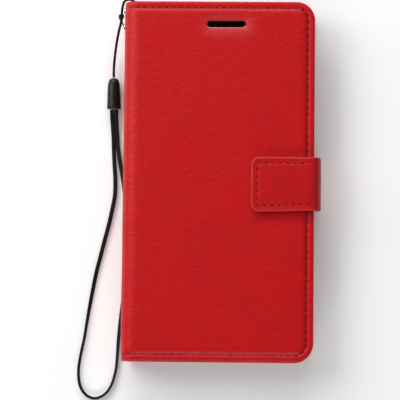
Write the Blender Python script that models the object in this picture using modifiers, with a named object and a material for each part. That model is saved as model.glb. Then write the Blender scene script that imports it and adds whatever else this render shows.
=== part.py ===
"""Phone wallet case: a red synthetic-leather folio, closed and lying on its back.

Metres, +Z up. +Y points to the head of the case, +X to the free edge, and the spine is at -X.
The origin is the middle of the back cover's outer face.
"""

import math

import bmesh
import bpy
from mathutils import Matrix, Vector

MM = 0.001
GAP = 0.3 * MM

# Covers
CASE_LENGTH = 166 * MM
CASE_WIDTH = 88 * MM
CORNER_R = 8.5 * MM
SHOULDER_R = 6 * MM
SKIN = 0.8 * MM
LINING = 0.5 * MM
BACK_BOARD = 0.9 * MM
FRONT_BOARD = 0.8 * MM
PADDING = 0.5 * MM
POCKET = 0.4 * MM
THREAD_R = 0.2 * MM
GROOVE_R = 0.6 * MM
SEAM_INSET = 3 * MM

# Phone tray, sized for a phone of 159 x 75 x 8.2
BAY_LENGTH = 159.4 * MM
BAY_WIDTH = 75.4 * MM
BAY_DEPTH = 8.4 * MM
TRAY_WALL = 1.3 * MM
TRAY_BASE = 1.0 * MM
TRAY_LIP = 0.8 * MM
LIP_REACH = 1.0 * MM
BAY_CORNER_R = 7.7 * MM
BAY_X = 3.75 * MM
CAMERA_WINDOW = ((8 * MM, 42 * MM), (38 * MM, 76 * MM))
CAMERA_CORNER_R = 6 * MM

# Earpiece slot in the front cover
SLOT_CENTRE = (3.2 * MM, 72.6 * MM)
SLOT_LENGTH = 18 * MM
SLOT_WIDTH = 3.4 * MM

# Closing strap
STRAP_Y = -1.6 * MM
STRAP_WIDTH = 25.6 * MM
STRAP_END_X = 15 * MM
STRAP_INNER_X = 44.4 * MM
STRAP_SIDE = 1.7 * MM
STRAP_CORNER_R = 3.8 * MM
STRAP_ROOT_Z = 2.8 * MM
TAB_TOP = 0.8 * MM
TAB_HOLLOW = 0.9 * MM
MAGNET_X = 26 * MM
MAGNET_R = 7 * MM
MAGNET = 0.6 * MM
KEEPER_R = 8 * MM

# Lanyard ring and its eyelets
RING_CENTRE = (-41.6 * MM, 75.5 * MM, 10 * MM)
RING_R = 4.25 * MM
RING_WIRE_R = 0.4 * MM
EYELET_BORE_R = 1.15 * MM
EYELET_BARREL_R = 1.5 * MM
EYELET_FLANGE_R = 2.3 * MM
EYELET_FLANGE = 0.35 * MM

# Lanyard
STRING_R = 0.55 * MM
RIBBON_R = 0.8 * MM
FERRULE_TOP = Vector((-49.7, 49.1, 3.4)) * MM
FERRULE_BOTTOM = Vector((-49.4, 34.7, 3.35)) * MM
STRING_ROUTE = (
    (-38.6, 79.0, 12.0), (-39.0, 82.2, 12.1), (-40.4, 84.3, 12.2), (-42.6, 85.0, 12.3),
    (-44.6, 84.0, 12.5), (-45.4, 81.6, 12.6), (-45.7, 79.2, 12.6), (-45.85, 76.8, 12.5),
    (-46.1, 74.2, 12.1), (-46.7, 72.0, 11.2), (-47.3, 69.7, 10.0), (-48.1, 66.1, 8.5),
    (-48.7, 62.6, 7.0), (-49.2, 59.0, 5.8), (-49.6, 55.3, 4.7), (-49.75, 52.0, 3.8),
    (-49.7, 49.5, 3.4),
)
RIBBON_ROUTE = (
    (-50.4, 34.3, 3.3), (-50.2, 30.0, 2.6), (-49.9, 25.6, 1.6), (-49.6, 21.0, 1.0),
    (-49.4, 16.0, 0.85), (-49.0, 9.0, 0.85), (-48.5, 1.5, 0.85), (-48.6, -5.5, 0.85),
    (-49.7, -12.1, 0.85), (-51.3, -19.7, 0.85), (-53.2, -27.2, 0.85), (-55.0, -34.7, 0.85),
    (-56.8, -42.2, 0.85), (-58.2, -49.7, 0.85), (-59.5, -57.2, 0.85), (-60.7, -64.7, 0.85),
    (-61.8, -72.1, 0.85), (-63.3, -79.6, 0.85), (-64.3, -87.0, 0.85), (-63.6, -94.0, 0.85),
    (-60.6, -98.6, 0.85), (-56.4, -100.1, 0.85), (-52.0, -98.2, 0.85), (-49.0, -94.0, 0.85),
    (-47.1, -87.4, 0.85), (-46.4, -80.5, 0.85), (-46.0, -73.0, 0.85), (-45.3, -65.0, 0.85),
    (-44.4, -57.0, 0.85), (-43.6, -49.0, 0.85), (-43.1, -39.0, 0.85), (-43.0, -27.0, 0.85),
    (-43.2, -15.0, 0.85), (-44.1, -4.0, 0.85), (-45.4, 4.5, 0.85), (-46.6, 11.0, 0.85),
    (-47.5, 17.0, 0.85), (-47.8, 21.5, 1.0), (-48.1, 25.6, 1.6), (-48.3, 30.0, 2.6),
    (-48.4, 34.3, 3.3),
)
SPACING_IN_DIAMETERS = 2.8

# Layers, from the table up
HALF_LENGTH = CASE_LENGTH / 2
HALF_WIDTH = CASE_WIDTH / 2
BACK_BOARD_Z = SKIN + GAP
BACK_LINING_Z = BACK_BOARD_Z + BACK_BOARD + GAP
TRAY_Z = BACK_LINING_Z + LINING + GAP
BAY_Z = TRAY_Z + TRAY_BASE
LIP_Z = BAY_Z + BAY_DEPTH
TRAY_TOP = LIP_Z + TRAY_LIP
POCKET_THREAD_Z = TRAY_TOP + GAP + THREAD_R
POCKETS_Z = POCKET_THREAD_Z + THREAD_R + GAP
POCKET_PITCH = POCKET + GAP
FRONT_LINING_Z = POCKETS_Z + 3 * POCKET_PITCH
FRONT_BOARD_Z = FRONT_LINING_Z + LINING + GAP
PADDING_Z = FRONT_BOARD_Z + FRONT_BOARD + GAP
FRONT_SKIN_Z = PADDING_Z + PADDING + GAP
FRONT_Z = FRONT_SKIN_Z + SKIN
TAB_Z = FRONT_Z + GAP
TAB_SHELL_Z = TAB_Z + LINING + GAP
TAB_TOP_Z = TAB_SHELL_Z + TAB_HOLLOW + TAB_TOP

# Joint axes
CREASE_X = -HALF_WIDTH + SKIN / 2
REAR_CREASE_Z = SKIN / 2
FRONT_CREASE_Z = FRONT_Z - SKIN / 2
LANYARD_PIVOT = Vector((-45.9, 76.0, 8.5)) * MM


def clear_scene():
    for thing in list(bpy.data.objects):
        bpy.data.objects.remove(thing, do_unlink=True)


def new_collection(name):
    group = bpy.data.collections.new(name)
    bpy.context.scene.collection.children.link(group)
    return group


clear_scene()
PARTS = new_collection("phone_wallet_case")
CUTTERS = new_collection("cutters")


def finish(name, rgb, roughness, metallic=0.0):
    """A material with one Principled BSDF."""
    material = bpy.data.materials.new(name)
    material.use_nodes = True
    shader = material.node_tree.nodes["Principled BSDF"]
    shader.inputs["Base Color"].default_value = (*rgb, 1)
    shader.inputs["Roughness"].default_value = roughness
    shader.inputs["Metallic"].default_value = metallic
    material.diffuse_color = (*rgb, 1)
    return material


LEATHER = finish("red_leather", (0.50, 0.014, 0.018), 0.42)
LEATHER_LINING = finish("red_lining", (0.42, 0.020, 0.024), 0.6)
THREAD = finish("red_thread", (0.55, 0.05, 0.06), 0.7)
BOARD = finish("grey_board", (0.33, 0.31, 0.28), 0.9)
FOAM = finish("white_foam", (0.75, 0.75, 0.72), 0.95)
RUBBER = finish("black_tray", (0.012, 0.012, 0.013), 0.5)
STEEL = finish("steel", (0.6, 0.6, 0.6), 0.25, 1.0)
CORD = finish("black_cord", (0.012, 0.012, 0.012), 0.8)
PLASTIC = finish("black_plastic", (0.015, 0.015, 0.016), 0.35)


def add_part(name, mesh, material, collection=PARTS):
    """Puts a mesh in the model as a named part."""
    mesh.name = name
    mesh.materials.clear()
    mesh.materials.append(material)
    thing = bpy.data.objects.new(name, mesh)
    collection.objects.link(thing)
    return thing


def add_cutter(name, mesh):
    """Puts a mesh among the cutters, where it isn't rendered."""
    cutter = add_part(name, mesh, RUBBER, CUTTERS)
    cutter.hide_render = True
    cutter.display_type = "WIRE"
    return cutter


def cut(part, *cutters):
    for cutter in cutters:
        modifier = part.modifiers.new(cutter.name, "BOOLEAN")
        modifier.operation = "DIFFERENCE"
        modifier.object = cutter


def mesh_from(bm):
    mesh = bpy.data.meshes.new("mesh")
    bm.to_mesh(mesh)
    bm.free()
    return mesh


def slab_mesh(low, high, corner=0.0, where=lambda x, y: True, segments=8):
    """A flat box whose upright edges are rounded where the test says so."""
    size = Vector(high) - Vector(low)
    middle = (Vector(high) + Vector(low)) / 2
    bm = bmesh.new()
    bmesh.ops.create_cube(bm, size=1, matrix=Matrix.LocRotScale(middle, None, size))
    if corner:
        upright = []
        for edge in bm.edges:
            along = edge.verts[0].co - edge.verts[1].co
            place = edge.verts[0].co - middle
            if abs(along.z) > abs(along.x) + abs(along.y) and where(place.x, place.y):
                upright.append(edge)
        bmesh.ops.bevel(bm, geom=upright, offset=corner, offset_type="OFFSET", segments=segments,
                        profile=0.5, affect="EDGES", material=-1)
    return mesh_from(bm)


def disc_mesh(centre, radius, depth, axis="Z", sides=32):
    """A cylinder on its middle, along Z or X."""
    turn = Matrix.Rotation(math.pi / 2, 4, "Y") if axis == "X" else Matrix.Identity(4)
    bm = bmesh.new()
    bmesh.ops.create_cone(bm, cap_ends=True, segments=sides, radius1=radius, radius2=radius,
                          depth=depth, matrix=Matrix.Translation(centre) @ turn)
    return mesh_from(bm)


def arc(centre, radius, start, end, steps):
    """Points on an arc in the XZ plane, angles in degrees."""
    points = []
    for step in range(steps + 1):
        angle = math.radians(start + (end - start) * step / steps)
        points.append((centre[0] + radius * math.cos(angle), centre[1] + radius * math.sin(angle)))
    return points


def sheet_part(name, outline, outward, material, free_corners=()):
    """A leather sheet: an outline in XZ drawn along Y, with rounded free corners and thickness inward."""
    bm = bmesh.new()
    chain = [bm.verts.new((x, -HALF_LENGTH, z)) for x, z in outline]
    edges = [bm.edges.new(pair) for pair in zip(chain, chain[1:])]
    made = bmesh.ops.extrude_edge_only(bm, edges=edges)["geom"]
    moved = [item for item in made if isinstance(item, bmesh.types.BMVert)]
    bmesh.ops.translate(bm, verts=moved, vec=(0, CASE_LENGTH, 0))
    bm.normal_update()
    widest = max(bm.faces, key=lambda face: face.calc_area())
    if widest.normal.dot(Vector(outward)) < 0:
        bmesh.ops.reverse_faces(bm, faces=list(bm.faces))
    corners = [v for v in bm.verts if any(abs(v.co.x - x) < GAP for x in free_corners)]
    if corners:
        bmesh.ops.bevel(bm, geom=corners, offset=CORNER_R, offset_type="OFFSET", segments=8,
                        profile=0.5, affect="VERTICES", material=-1)
    sheet = add_part(name, mesh_from(bm), material)
    thickness = sheet.modifiers.new("thickness", "SOLIDIFY")
    thickness.thickness = SKIN
    thickness.offset = -1
    thickness.use_even_offset = True
    return sheet


def path_curve(name, points, radius):
    """A round tube along a list of points."""
    data = bpy.data.curves.new(name, "CURVE")
    data.dimensions = "3D"
    data.bevel_depth = radius
    data.bevel_resolution = 2
    data.use_fill_caps = True
    spline = data.splines.new("POLY")
    spline.points.add(len(points) - 1)
    for point, place in zip(spline.points, points):
        point.co = (*place, 1)
    return bpy.data.objects.new(name, data)


def tube_mesh(points, radius):
    """The tube as a mesh with its caps welded, so that it can cut or be a part."""
    guide = path_curve("guide", points, radius)
    CUTTERS.objects.link(guide)
    seen = guide.evaluated_get(bpy.context.evaluated_depsgraph_get())
    mesh = bpy.data.meshes.new_from_object(seen)
    bpy.data.objects.remove(guide, do_unlink=True)
    bm = bmesh.new()
    bm.from_mesh(mesh)
    bmesh.ops.remove_doubles(bm, verts=list(bm.verts), dist=0.01 * MM)
    return mesh_from(bm)


def seam_path(left, right, bottom, top, corner, z):
    """Along the top, round the free edge and back along the bottom."""
    points = [(left, top, z)]
    for start, x, y in ((90, right - corner, top - corner), (0, right - corner, bottom + corner)):
        for step in range(9):
            angle = math.radians(start - 90 * step / 8)
            points.append((x + corner * math.cos(angle), y + corner * math.sin(angle), z))
    points.append((left, bottom, z))
    return points


def mirrored_seam(path, axis_x):
    """The same seam with its round corners at the other end."""
    return [(2 * axis_x - x, y, z) for x, y, z in path]


def sew(name, part, path, sink):
    """Sinks a thread in a groove of the part it is sewn through."""
    cut(part, add_cutter(name + "_groove", tube_mesh(path, GROOVE_R)))
    line = [(x, y, z + sink) for x, y, z in path]
    add_part(name, tube_mesh(line, THREAD_R), THREAD)


def smooth_points(route, spacing):
    """Even points on a smooth curve through a route given in millimetres."""
    knots = [Vector(point) * MM for point in route]
    knots = [2 * knots[0] - knots[1], *knots, 2 * knots[-1] - knots[-2]]
    fine = []
    for a, b, c, d in zip(knots, knots[1:], knots[2:], knots[3:]):
        for step in range(24):
            t = step / 24
            fine.append(0.5 * (2 * b + (c - a) * t + (2 * a - 5 * b + 4 * c - d) * t ** 2
                               + (3 * b - a - 3 * c + d) * t ** 3))
    fine.append(knots[-2])
    reach = [0.0]
    for a, b in zip(fine, fine[1:]):
        reach.append(reach[-1] + (b - a).length)
    count = round(reach[-1] / spacing)
    points, at = [], 0
    for step in range(count + 1):
        goal = reach[-1] * step / count
        while at < len(fine) - 2 and reach[at + 1] < goal:
            at += 1
        share = (goal - reach[at]) / (reach[at + 1] - reach[at])
        points.append(fine[at].lerp(fine[at + 1], min(share, 1)))
    return points


def slot_cutter():
    """A round-ended slot through the front cover's layers."""
    bottom = FRONT_LINING_Z - 2 * GAP
    top = FRONT_Z + 2 * GAP
    x, y = SLOT_CENTRE
    low = (x - SLOT_LENGTH / 2, y - SLOT_WIDTH / 2, bottom)
    high = (x + SLOT_LENGTH / 2, y + SLOT_WIDTH / 2, top)
    return add_cutter("slot_cutter", slab_mesh(low, high, SLOT_WIDTH / 2 - 0.02 * MM))


def camera_cutter():
    """The camera window, through the back cover and the tray's base."""
    (x0, y0), (x1, y1) = CAMERA_WINDOW
    low, high = (x0, y0, -2 * GAP), (x1, y1, BAY_Z + 2 * GAP)
    return add_cutter("camera_cutter", slab_mesh(low, high, CAMERA_CORNER_R))


def free_side(x, y):
    return x > 0


def left_side(x, y):
    return x < 0


def layer(name, x0, x1, half_length, z, thickness, corner, material, where=free_side):
    low = (x0, -half_length, z)
    high = (x1, half_length, z + thickness)
    return add_part(name, slab_mesh(low, high, corner, where), material)


def front_skin():
    turn = arc((-HALF_WIDTH + SHOULDER_R, FRONT_Z - SHOULDER_R), SHOULDER_R, 133, 90, 4)
    skin = sheet_part("front_skin", [*turn, (HALF_WIDTH, FRONT_Z)], (0, 0, 1), LEATHER, [HALF_WIDTH])
    path = seam_path(-HALF_WIDTH + SHOULDER_R, HALF_WIDTH - SEAM_INSET, -HALF_LENGTH + SEAM_INSET,
                     HALF_LENGTH - SEAM_INSET, CORNER_R - SEAM_INSET, FRONT_Z)
    cut(skin, slot_cutter())
    sew("front_stitching", skin, path, -0.15 * MM)


def front_inside():
    slot = bpy.data.objects["slot_cutter"]
    board = layer("front_board", -36 * MM, 38 * MM, 77 * MM, FRONT_BOARD_Z, FRONT_BOARD, 4 * MM, BOARD)
    padding = layer("front_padding", -36 * MM, 37.6 * MM, 76.6 * MM, PADDING_Z, PADDING, 4 * MM, FOAM)
    lining = layer("front_lining", -37 * MM, 42.6 * MM, 81.6 * MM, FRONT_LINING_Z, LINING,
                   CORNER_R - 1.4 * MM, LEATHER_LINING)
    centre = (MAGNET_X, STRAP_Y, FRONT_BOARD_Z + FRONT_BOARD / 2)
    recess = add_cutter("keeper_recess", disc_mesh(centre, KEEPER_R + GAP, 3 * FRONT_BOARD))
    cut(board, recess, slot)
    cut(padding, slot)
    cut(lining, slot)
    add_part("keeper_plate", disc_mesh(centre, KEEPER_R, FRONT_BOARD - 0.1 * MM), STEEL)


def pockets():
    """Two card pockets and a cash pocket behind them, all open towards the spine."""
    right = 40.5 * MM
    card_low, card_high = -62 * MM, 32 * MM
    notch_r = 9 * MM
    for count, (name, mouth) in enumerate((("front", -10 * MM), ("rear", -24 * MM))):
        z = POCKETS_Z + count * POCKET_PITCH
        mesh = slab_mesh((mouth, card_low, z), (right, card_high, z + POCKET), 2 * MM, free_side, 4)
        pocket = add_part("card_pocket_" + name, mesh, LEATHER_LINING)
        notch = disc_mesh((mouth - 6 * MM, (card_low + card_high) / 2, z + POCKET / 2), notch_r, 2 * POCKET)
        cut(pocket, add_cutter("thumb_notch_" + name, notch))
    z = POCKETS_Z + 2 * POCKET_PITCH
    mesh = slab_mesh((-33 * MM, -77 * MM, z), (right, 66 * MM, z + POCKET), 3 * MM, free_side, 4)
    add_part("cash_pocket", mesh, LEATHER_LINING)
    path = seam_path(-10 * MM, right - 1.5 * MM, card_low + 1.5 * MM, card_high - 1.5 * MM, 2 * MM,
                     POCKET_THREAD_Z)
    add_part("pocket_stitching", tube_mesh(path, THREAD_R), THREAD)


def eyelet_centres():
    """Where the ring's circle crosses the middle of the spine's skin."""
    across = CREASE_X - RING_CENTRE[0]
    along = math.sqrt(RING_R ** 2 - across ** 2)
    return {"eyelet_upper": RING_CENTRE[1] + along, "eyelet_lower": RING_CENTRE[1] - along}


def eyelet(name, y):
    """A turned grommet: a barrel through the skin and a flange outside it."""
    outside = -HALF_WIDTH - GAP
    inside = -HALF_WIDTH + SKIN + GAP
    profile = (
        (EYELET_BORE_R, outside - EYELET_FLANGE), (EYELET_FLANGE_R, outside - EYELET_FLANGE),
        (EYELET_FLANGE_R, outside), (EYELET_BARREL_R, outside), (EYELET_BARREL_R, inside),
        (EYELET_BORE_R, inside),
    )
    bm = bmesh.new()
    ring = [bm.verts.new((x, y + r, RING_CENTRE[2])) for r, x in profile]
    edges = [bm.edges.new(pair) for pair in zip(ring, ring[1:] + ring[:1])]
    bmesh.ops.spin(bm, geom=ring + edges, cent=(0, y, RING_CENTRE[2]), axis=(1, 0, 0),
                   angle=2 * math.pi, steps=24, use_merge=True)
    bmesh.ops.recalc_face_normals(bm, faces=list(bm.faces))
    add_part(name, mesh_from(bm), STEEL)


def spine():
    centre_x = -HALF_WIDTH + SHOULDER_R
    low = arc((centre_x, SHOULDER_R), SHOULDER_R, 223, 180, 4)
    high = arc((centre_x, FRONT_Z - SHOULDER_R), SHOULDER_R, 180, 137, 4)
    skin = sheet_part("spine_skin", low + high, (-1, 0, 0), LEATHER)
    stiffener_x = -HALF_WIDTH + SKIN + GAP
    lining_x = stiffener_x + SKIN + GAP
    mesh = slab_mesh((stiffener_x, -80 * MM, SHOULDER_R), (stiffener_x + SKIN, 66 * MM, FRONT_Z - SHOULDER_R))
    add_part("spine_stiffener", mesh, BOARD)
    mesh = slab_mesh((lining_x, -81.5 * MM, 4.2 * MM), (lining_x + LINING, 81.5 * MM, 15.7 * MM))
    lining = add_part("spine_lining", mesh, LEATHER_LINING)
    reach = RING_R + 1.5 * MM
    x, y, z = RING_CENTRE
    window = slab_mesh((lining_x - SKIN, y - reach, z - 1.5 * MM), (x + SKIN, y + reach, z + 1.5 * MM))
    cut(lining, add_cutter("ring_window", window))
    for name, y in eyelet_centres().items():
        hole = disc_mesh((CREASE_X, y, z), EYELET_BARREL_R + GAP, 4 * SKIN, "X", 24)
        cut(skin, add_cutter(name + "_hole", hole))
        eyelet(name, y)


def lanyard_ring():
    """A split ring through both eyelets, turning about its own middle."""
    points = []
    for step in range(48):
        angle = 2 * math.pi * step / 48
        points.append((RING_R * math.cos(angle), RING_R * math.sin(angle)))
    data = bpy.data.curves.new("lanyard_ring", "CURVE")
    data.dimensions = "3D"
    data.bevel_depth = RING_WIRE_R
    data.bevel_resolution = 2
    spline = data.splines.new("POLY")
    spline.points.add(len(points) - 1)
    for point, (x, y) in zip(spline.points, points):
        point.co = (x, y, 0, 1)
    spline.use_cyclic_u = True
    data.materials.append(STEEL)
    ring = bpy.data.objects.new("lanyard_ring", data)
    ring.location = RING_CENTRE
    PARTS.objects.link(ring)


def back_skin():
    turn = arc((-HALF_WIDTH + SHOULDER_R, SHOULDER_R), SHOULDER_R, 270, 227, 4)
    skin = sheet_part("back_skin", [(HALF_WIDTH, 0), *turn], (0, 0, -1), LEATHER, [HALF_WIDTH])
    cut(skin, camera_cutter())
    path = seam_path(-HALF_WIDTH + SHOULDER_R, HALF_WIDTH - SEAM_INSET, -HALF_LENGTH + SEAM_INSET,
                     HALF_LENGTH - SEAM_INSET, CORNER_R - SEAM_INSET, 0)
    sew("back_stitching", skin, path, 0.2 * MM)


def back_inside():
    window = bpy.data.objects["camera_cutter"]
    board = layer("back_board", -36 * MM, 42 * MM, 81 * MM, BACK_BOARD_Z, BACK_BOARD, 7 * MM, BOARD)
    lining = layer("back_lining", -37 * MM, 42.6 * MM, 81.6 * MM, BACK_LINING_Z, LINING,
                   CORNER_R - 1.4 * MM, LEATHER_LINING)
    half = STRAP_WIDTH / 2
    inner = 33 * MM
    low = (inner - GAP, STRAP_Y - half - GAP, BACK_BOARD_Z - GAP)
    high = (HALF_WIDTH, STRAP_Y + half + GAP, BACK_BOARD_Z + BACK_BOARD + GAP)
    cut(board, window, add_cutter("strap_notch", slab_mesh(low, high)))
    cut(lining, window)
    low = (inner, STRAP_Y - half, BACK_BOARD_Z)
    high = (STRAP_INNER_X - 0.1 * MM, STRAP_Y + half, BACK_BOARD_Z + BACK_BOARD)
    add_part("strap_root", slab_mesh(low, high), LEATHER)


def phone_tray():
    half_l, half_w = BAY_LENGTH / 2, BAY_WIDTH / 2
    low = (BAY_X - half_w - TRAY_WALL, -half_l - TRAY_WALL, TRAY_Z)
    high = (BAY_X + half_w + TRAY_WALL, half_l + TRAY_WALL, TRAY_TOP)
    tray = add_part("phone_tray", slab_mesh(low, high, BAY_CORNER_R + TRAY_WALL), RUBBER)
    bay = slab_mesh((BAY_X - half_w, -half_l, BAY_Z), (BAY_X + half_w, half_l, LIP_Z), BAY_CORNER_R)
    mouth_w, mouth_l = half_w - LIP_REACH, half_l - LIP_REACH
    mouth = slab_mesh((BAY_X - mouth_w, -mouth_l, LIP_Z - SKIN), (BAY_X + mouth_w, mouth_l, TRAY_TOP + SKIN),
                      BAY_CORNER_R - LIP_REACH)
    port = slab_mesh((BAY_X - 20 * MM, low[1] - SKIN, BAY_Z + 1.9 * MM),
                     (BAY_X + 20 * MM, -half_l + LIP_REACH, BAY_Z + 6.9 * MM), 2 * MM)
    keys = slab_mesh((BAY_X + half_w - LIP_REACH - SKIN, 18 * MM, BAY_Z + 2.4 * MM),
                     (high[0] + SKIN, 52 * MM, TRAY_TOP + SKIN))
    cut(tray, add_cutter("bay", bay), add_cutter("mouth", mouth), add_cutter("port_cutout", port),
        add_cutter("key_cutout", keys), bpy.data.objects["camera_cutter"])


def strap_side():
    half = STRAP_WIDTH / 2
    bottom, top = STRAP_ROOT_Z + GAP, TAB_Z - GAP
    inner = STRAP_INNER_X
    low, high = (inner, STRAP_Y - half, bottom), (inner + LINING, STRAP_Y + half, top)
    add_part("strap_side_lining", slab_mesh(low, high), LEATHER_LINING)
    inner += LINING + GAP
    low, high = (inner, STRAP_Y - half, bottom), (inner + STRAP_SIDE, STRAP_Y + half, top)
    add_part("strap_side_outer", slab_mesh(low, high), LEATHER)


def strap_tab():
    half = STRAP_WIDTH / 2
    right = STRAP_INNER_X - GAP
    low, high = (STRAP_END_X, STRAP_Y - half, TAB_Z), (right, STRAP_Y + half, TAB_Z + LINING)
    add_part("strap_tab_lining", slab_mesh(low, high, STRAP_CORNER_R, left_side), LEATHER_LINING)
    low, high = (STRAP_END_X, STRAP_Y - half, TAB_SHELL_Z), (right, STRAP_Y + half, TAB_TOP_Z)
    shell = add_part("strap_tab_shell", slab_mesh(low, high, STRAP_CORNER_R, left_side), LEATHER)
    inset = 1 * MM
    low = (STRAP_END_X + inset, STRAP_Y - half + inset, TAB_SHELL_Z - SKIN)
    high = (right - inset, STRAP_Y + half - inset, TAB_SHELL_Z + TAB_HOLLOW)
    hollow = slab_mesh(low, high, STRAP_CORNER_R - inset, left_side)
    cut(shell, add_cutter("tab_hollow", hollow))
    path = seam_path(-(STRAP_INNER_X - 5.4 * MM), -(STRAP_END_X + SEAM_INSET), STRAP_Y - half + SEAM_INSET,
                     STRAP_Y + half - SEAM_INSET, 1 * MM, TAB_TOP_Z)
    sew("strap_stitching", shell, mirrored_seam(path, 0), -0.15 * MM)
    centre = (MAGNET_X, STRAP_Y, TAB_SHELL_Z + MAGNET / 2)
    add_part("strap_magnet", disc_mesh(centre, MAGNET_R, MAGNET), STEEL)


def hitch_knot():
    """The knot that holds the string at the ring, as a plain torus round the string."""
    place = Vector(STRING_ROUTE[7]) * MM
    bpy.ops.mesh.primitive_torus_add(major_radius=1.2 * MM, minor_radius=0.33 * MM, major_segments=24,
                                     minor_segments=8, location=place, rotation=(math.pi / 2, 0, 0))
    knot = bpy.context.active_object
    knot.name = "hitch_knot"
    knot.data.materials.append(CORD)
    for group in list(knot.users_collection):
        group.objects.unlink(knot)
    PARTS.objects.link(knot)


def ferrule():
    """A turned plug that joins the string to the wrist loop, narrower towards the string."""
    axis = FERRULE_BOTTOM - FERRULE_TOP
    length = axis.length
    profile = (
        (0.0, 0.0), (1.7, 0.0), (2.1, 0.02), (2.45, 0.08), (2.8, 0.2), (3.0, 0.36), (3.15, 0.6),
        (3.25, 0.9), (3.1, 0.98), (2.7, 1.0), (0.0, 1.0),
    )
    bm = bmesh.new()
    line = [bm.verts.new((r * MM, 0, share * length)) for r, share in profile]
    edges = [bm.edges.new(pair) for pair in zip(line, line[1:])]
    bmesh.ops.spin(bm, geom=line + edges, cent=(0, 0, 0), axis=(0, 0, 1), angle=2 * math.pi,
                   steps=24, use_merge=True)
    bmesh.ops.remove_doubles(bm, verts=list(bm.verts), dist=0.001 * MM)
    bmesh.ops.recalc_face_normals(bm, faces=list(bm.faces))
    turn = axis.to_track_quat("Z", "Y").to_matrix().to_4x4()
    bmesh.ops.transform(bm, matrix=Matrix.Translation(FERRULE_TOP) @ turn, verts=list(bm.verts))
    add_part("ferrule", mesh_from(bm), PLASTIC)


def cord(name, route, radius, material):
    points = smooth_points(route, SPACING_IN_DIAMETERS * 2 * radius)
    thing = path_curve(name, points, radius)
    thing.data.materials.append(material)
    PARTS.objects.link(thing)


def add_pivot(name, place, *parts):
    """An empty on a joint's axis that carries the parts turning about it."""
    pivot = bpy.data.objects.new(name, None)
    pivot.location = place
    PARTS.objects.link(pivot)
    bpy.context.view_layer.update()
    for part in parts:
        thing = bpy.data.objects[part]
        thing.parent = pivot
        thing.matrix_parent_inverse = pivot.matrix_world.inverted()
    return pivot


def pivots():
    add_pivot("spine_fold", (CREASE_X, 0, REAR_CREASE_Z), "spine_skin", "spine_stiffener",
              "spine_lining", "eyelet_upper", "eyelet_lower", "hitch_knot")
    add_pivot("cover_fold", (CREASE_X, 0, FRONT_CREASE_Z), "front_skin", "front_padding",
              "front_board", "keeper_plate", "front_lining", "front_stitching", "cash_pocket",
              "card_pocket_rear", "card_pocket_front", "pocket_stitching")
    add_pivot("strap_lift", (STRAP_INNER_X, STRAP_Y, STRAP_ROOT_Z), "strap_side_outer",
              "strap_side_lining")
    add_pivot("strap_tab_fold", (STRAP_INNER_X, STRAP_Y, TAB_Z), "strap_tab_shell",
              "strap_tab_lining", "strap_magnet", "strap_stitching")
    add_pivot("lanyard_swing", LANYARD_PIVOT, "string", "ferrule", "wrist_loop")


back_skin()
back_inside()
phone_tray()
front_skin()
front_inside()
pockets()
spine()
lanyard_ring()
strap_side()
strap_tab()
hitch_knot()
ferrule()
cord("string", STRING_ROUTE, STRING_R, CORD)
cord("wrist_loop", RIBBON_ROUTE, RIBBON_R, CORD)
pivots()
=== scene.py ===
# %% [markdown]
# # A phone wallet case in red synthetic leather
# The case is closed and lies on its back. Its covers are thin boards wrapped in leather, sewn
# round the edge, with a strap on the free side and a wrist lanyard at the spine. The solid model
# gives every size and every hinge. This script dresses it: leather sheets, stitches, strap, cords.

# %% Loading the frame
import math
import random

import bmesh
import bpy
from mathutils import Matrix, Vector, noise
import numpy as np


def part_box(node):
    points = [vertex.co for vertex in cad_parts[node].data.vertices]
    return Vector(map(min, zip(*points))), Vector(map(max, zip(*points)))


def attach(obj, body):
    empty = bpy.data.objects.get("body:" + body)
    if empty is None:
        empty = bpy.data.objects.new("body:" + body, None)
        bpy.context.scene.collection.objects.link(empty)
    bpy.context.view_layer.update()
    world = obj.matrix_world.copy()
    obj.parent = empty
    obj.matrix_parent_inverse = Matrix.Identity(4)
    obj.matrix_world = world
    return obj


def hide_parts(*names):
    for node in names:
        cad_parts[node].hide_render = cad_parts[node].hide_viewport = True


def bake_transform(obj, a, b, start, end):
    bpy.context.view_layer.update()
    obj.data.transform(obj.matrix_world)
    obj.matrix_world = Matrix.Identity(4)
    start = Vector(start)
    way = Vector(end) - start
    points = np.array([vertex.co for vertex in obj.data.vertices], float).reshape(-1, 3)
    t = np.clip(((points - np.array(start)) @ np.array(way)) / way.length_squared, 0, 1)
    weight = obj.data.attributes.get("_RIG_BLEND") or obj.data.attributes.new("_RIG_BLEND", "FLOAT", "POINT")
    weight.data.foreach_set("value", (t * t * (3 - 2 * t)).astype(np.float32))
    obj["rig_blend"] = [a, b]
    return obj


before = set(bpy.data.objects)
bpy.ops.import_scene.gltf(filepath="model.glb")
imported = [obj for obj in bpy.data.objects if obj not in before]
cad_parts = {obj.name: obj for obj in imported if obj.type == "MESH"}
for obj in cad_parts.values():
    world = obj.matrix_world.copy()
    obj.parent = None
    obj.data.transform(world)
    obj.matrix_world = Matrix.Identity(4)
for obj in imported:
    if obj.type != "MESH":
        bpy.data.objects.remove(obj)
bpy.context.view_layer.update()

# %% [markdown]
# ## Sizes
# Lengths are in metres. The places of the covers, the strap and the tray are read from the solid
# model, so that a sheet of leather always meets the board that it wraps.

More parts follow.
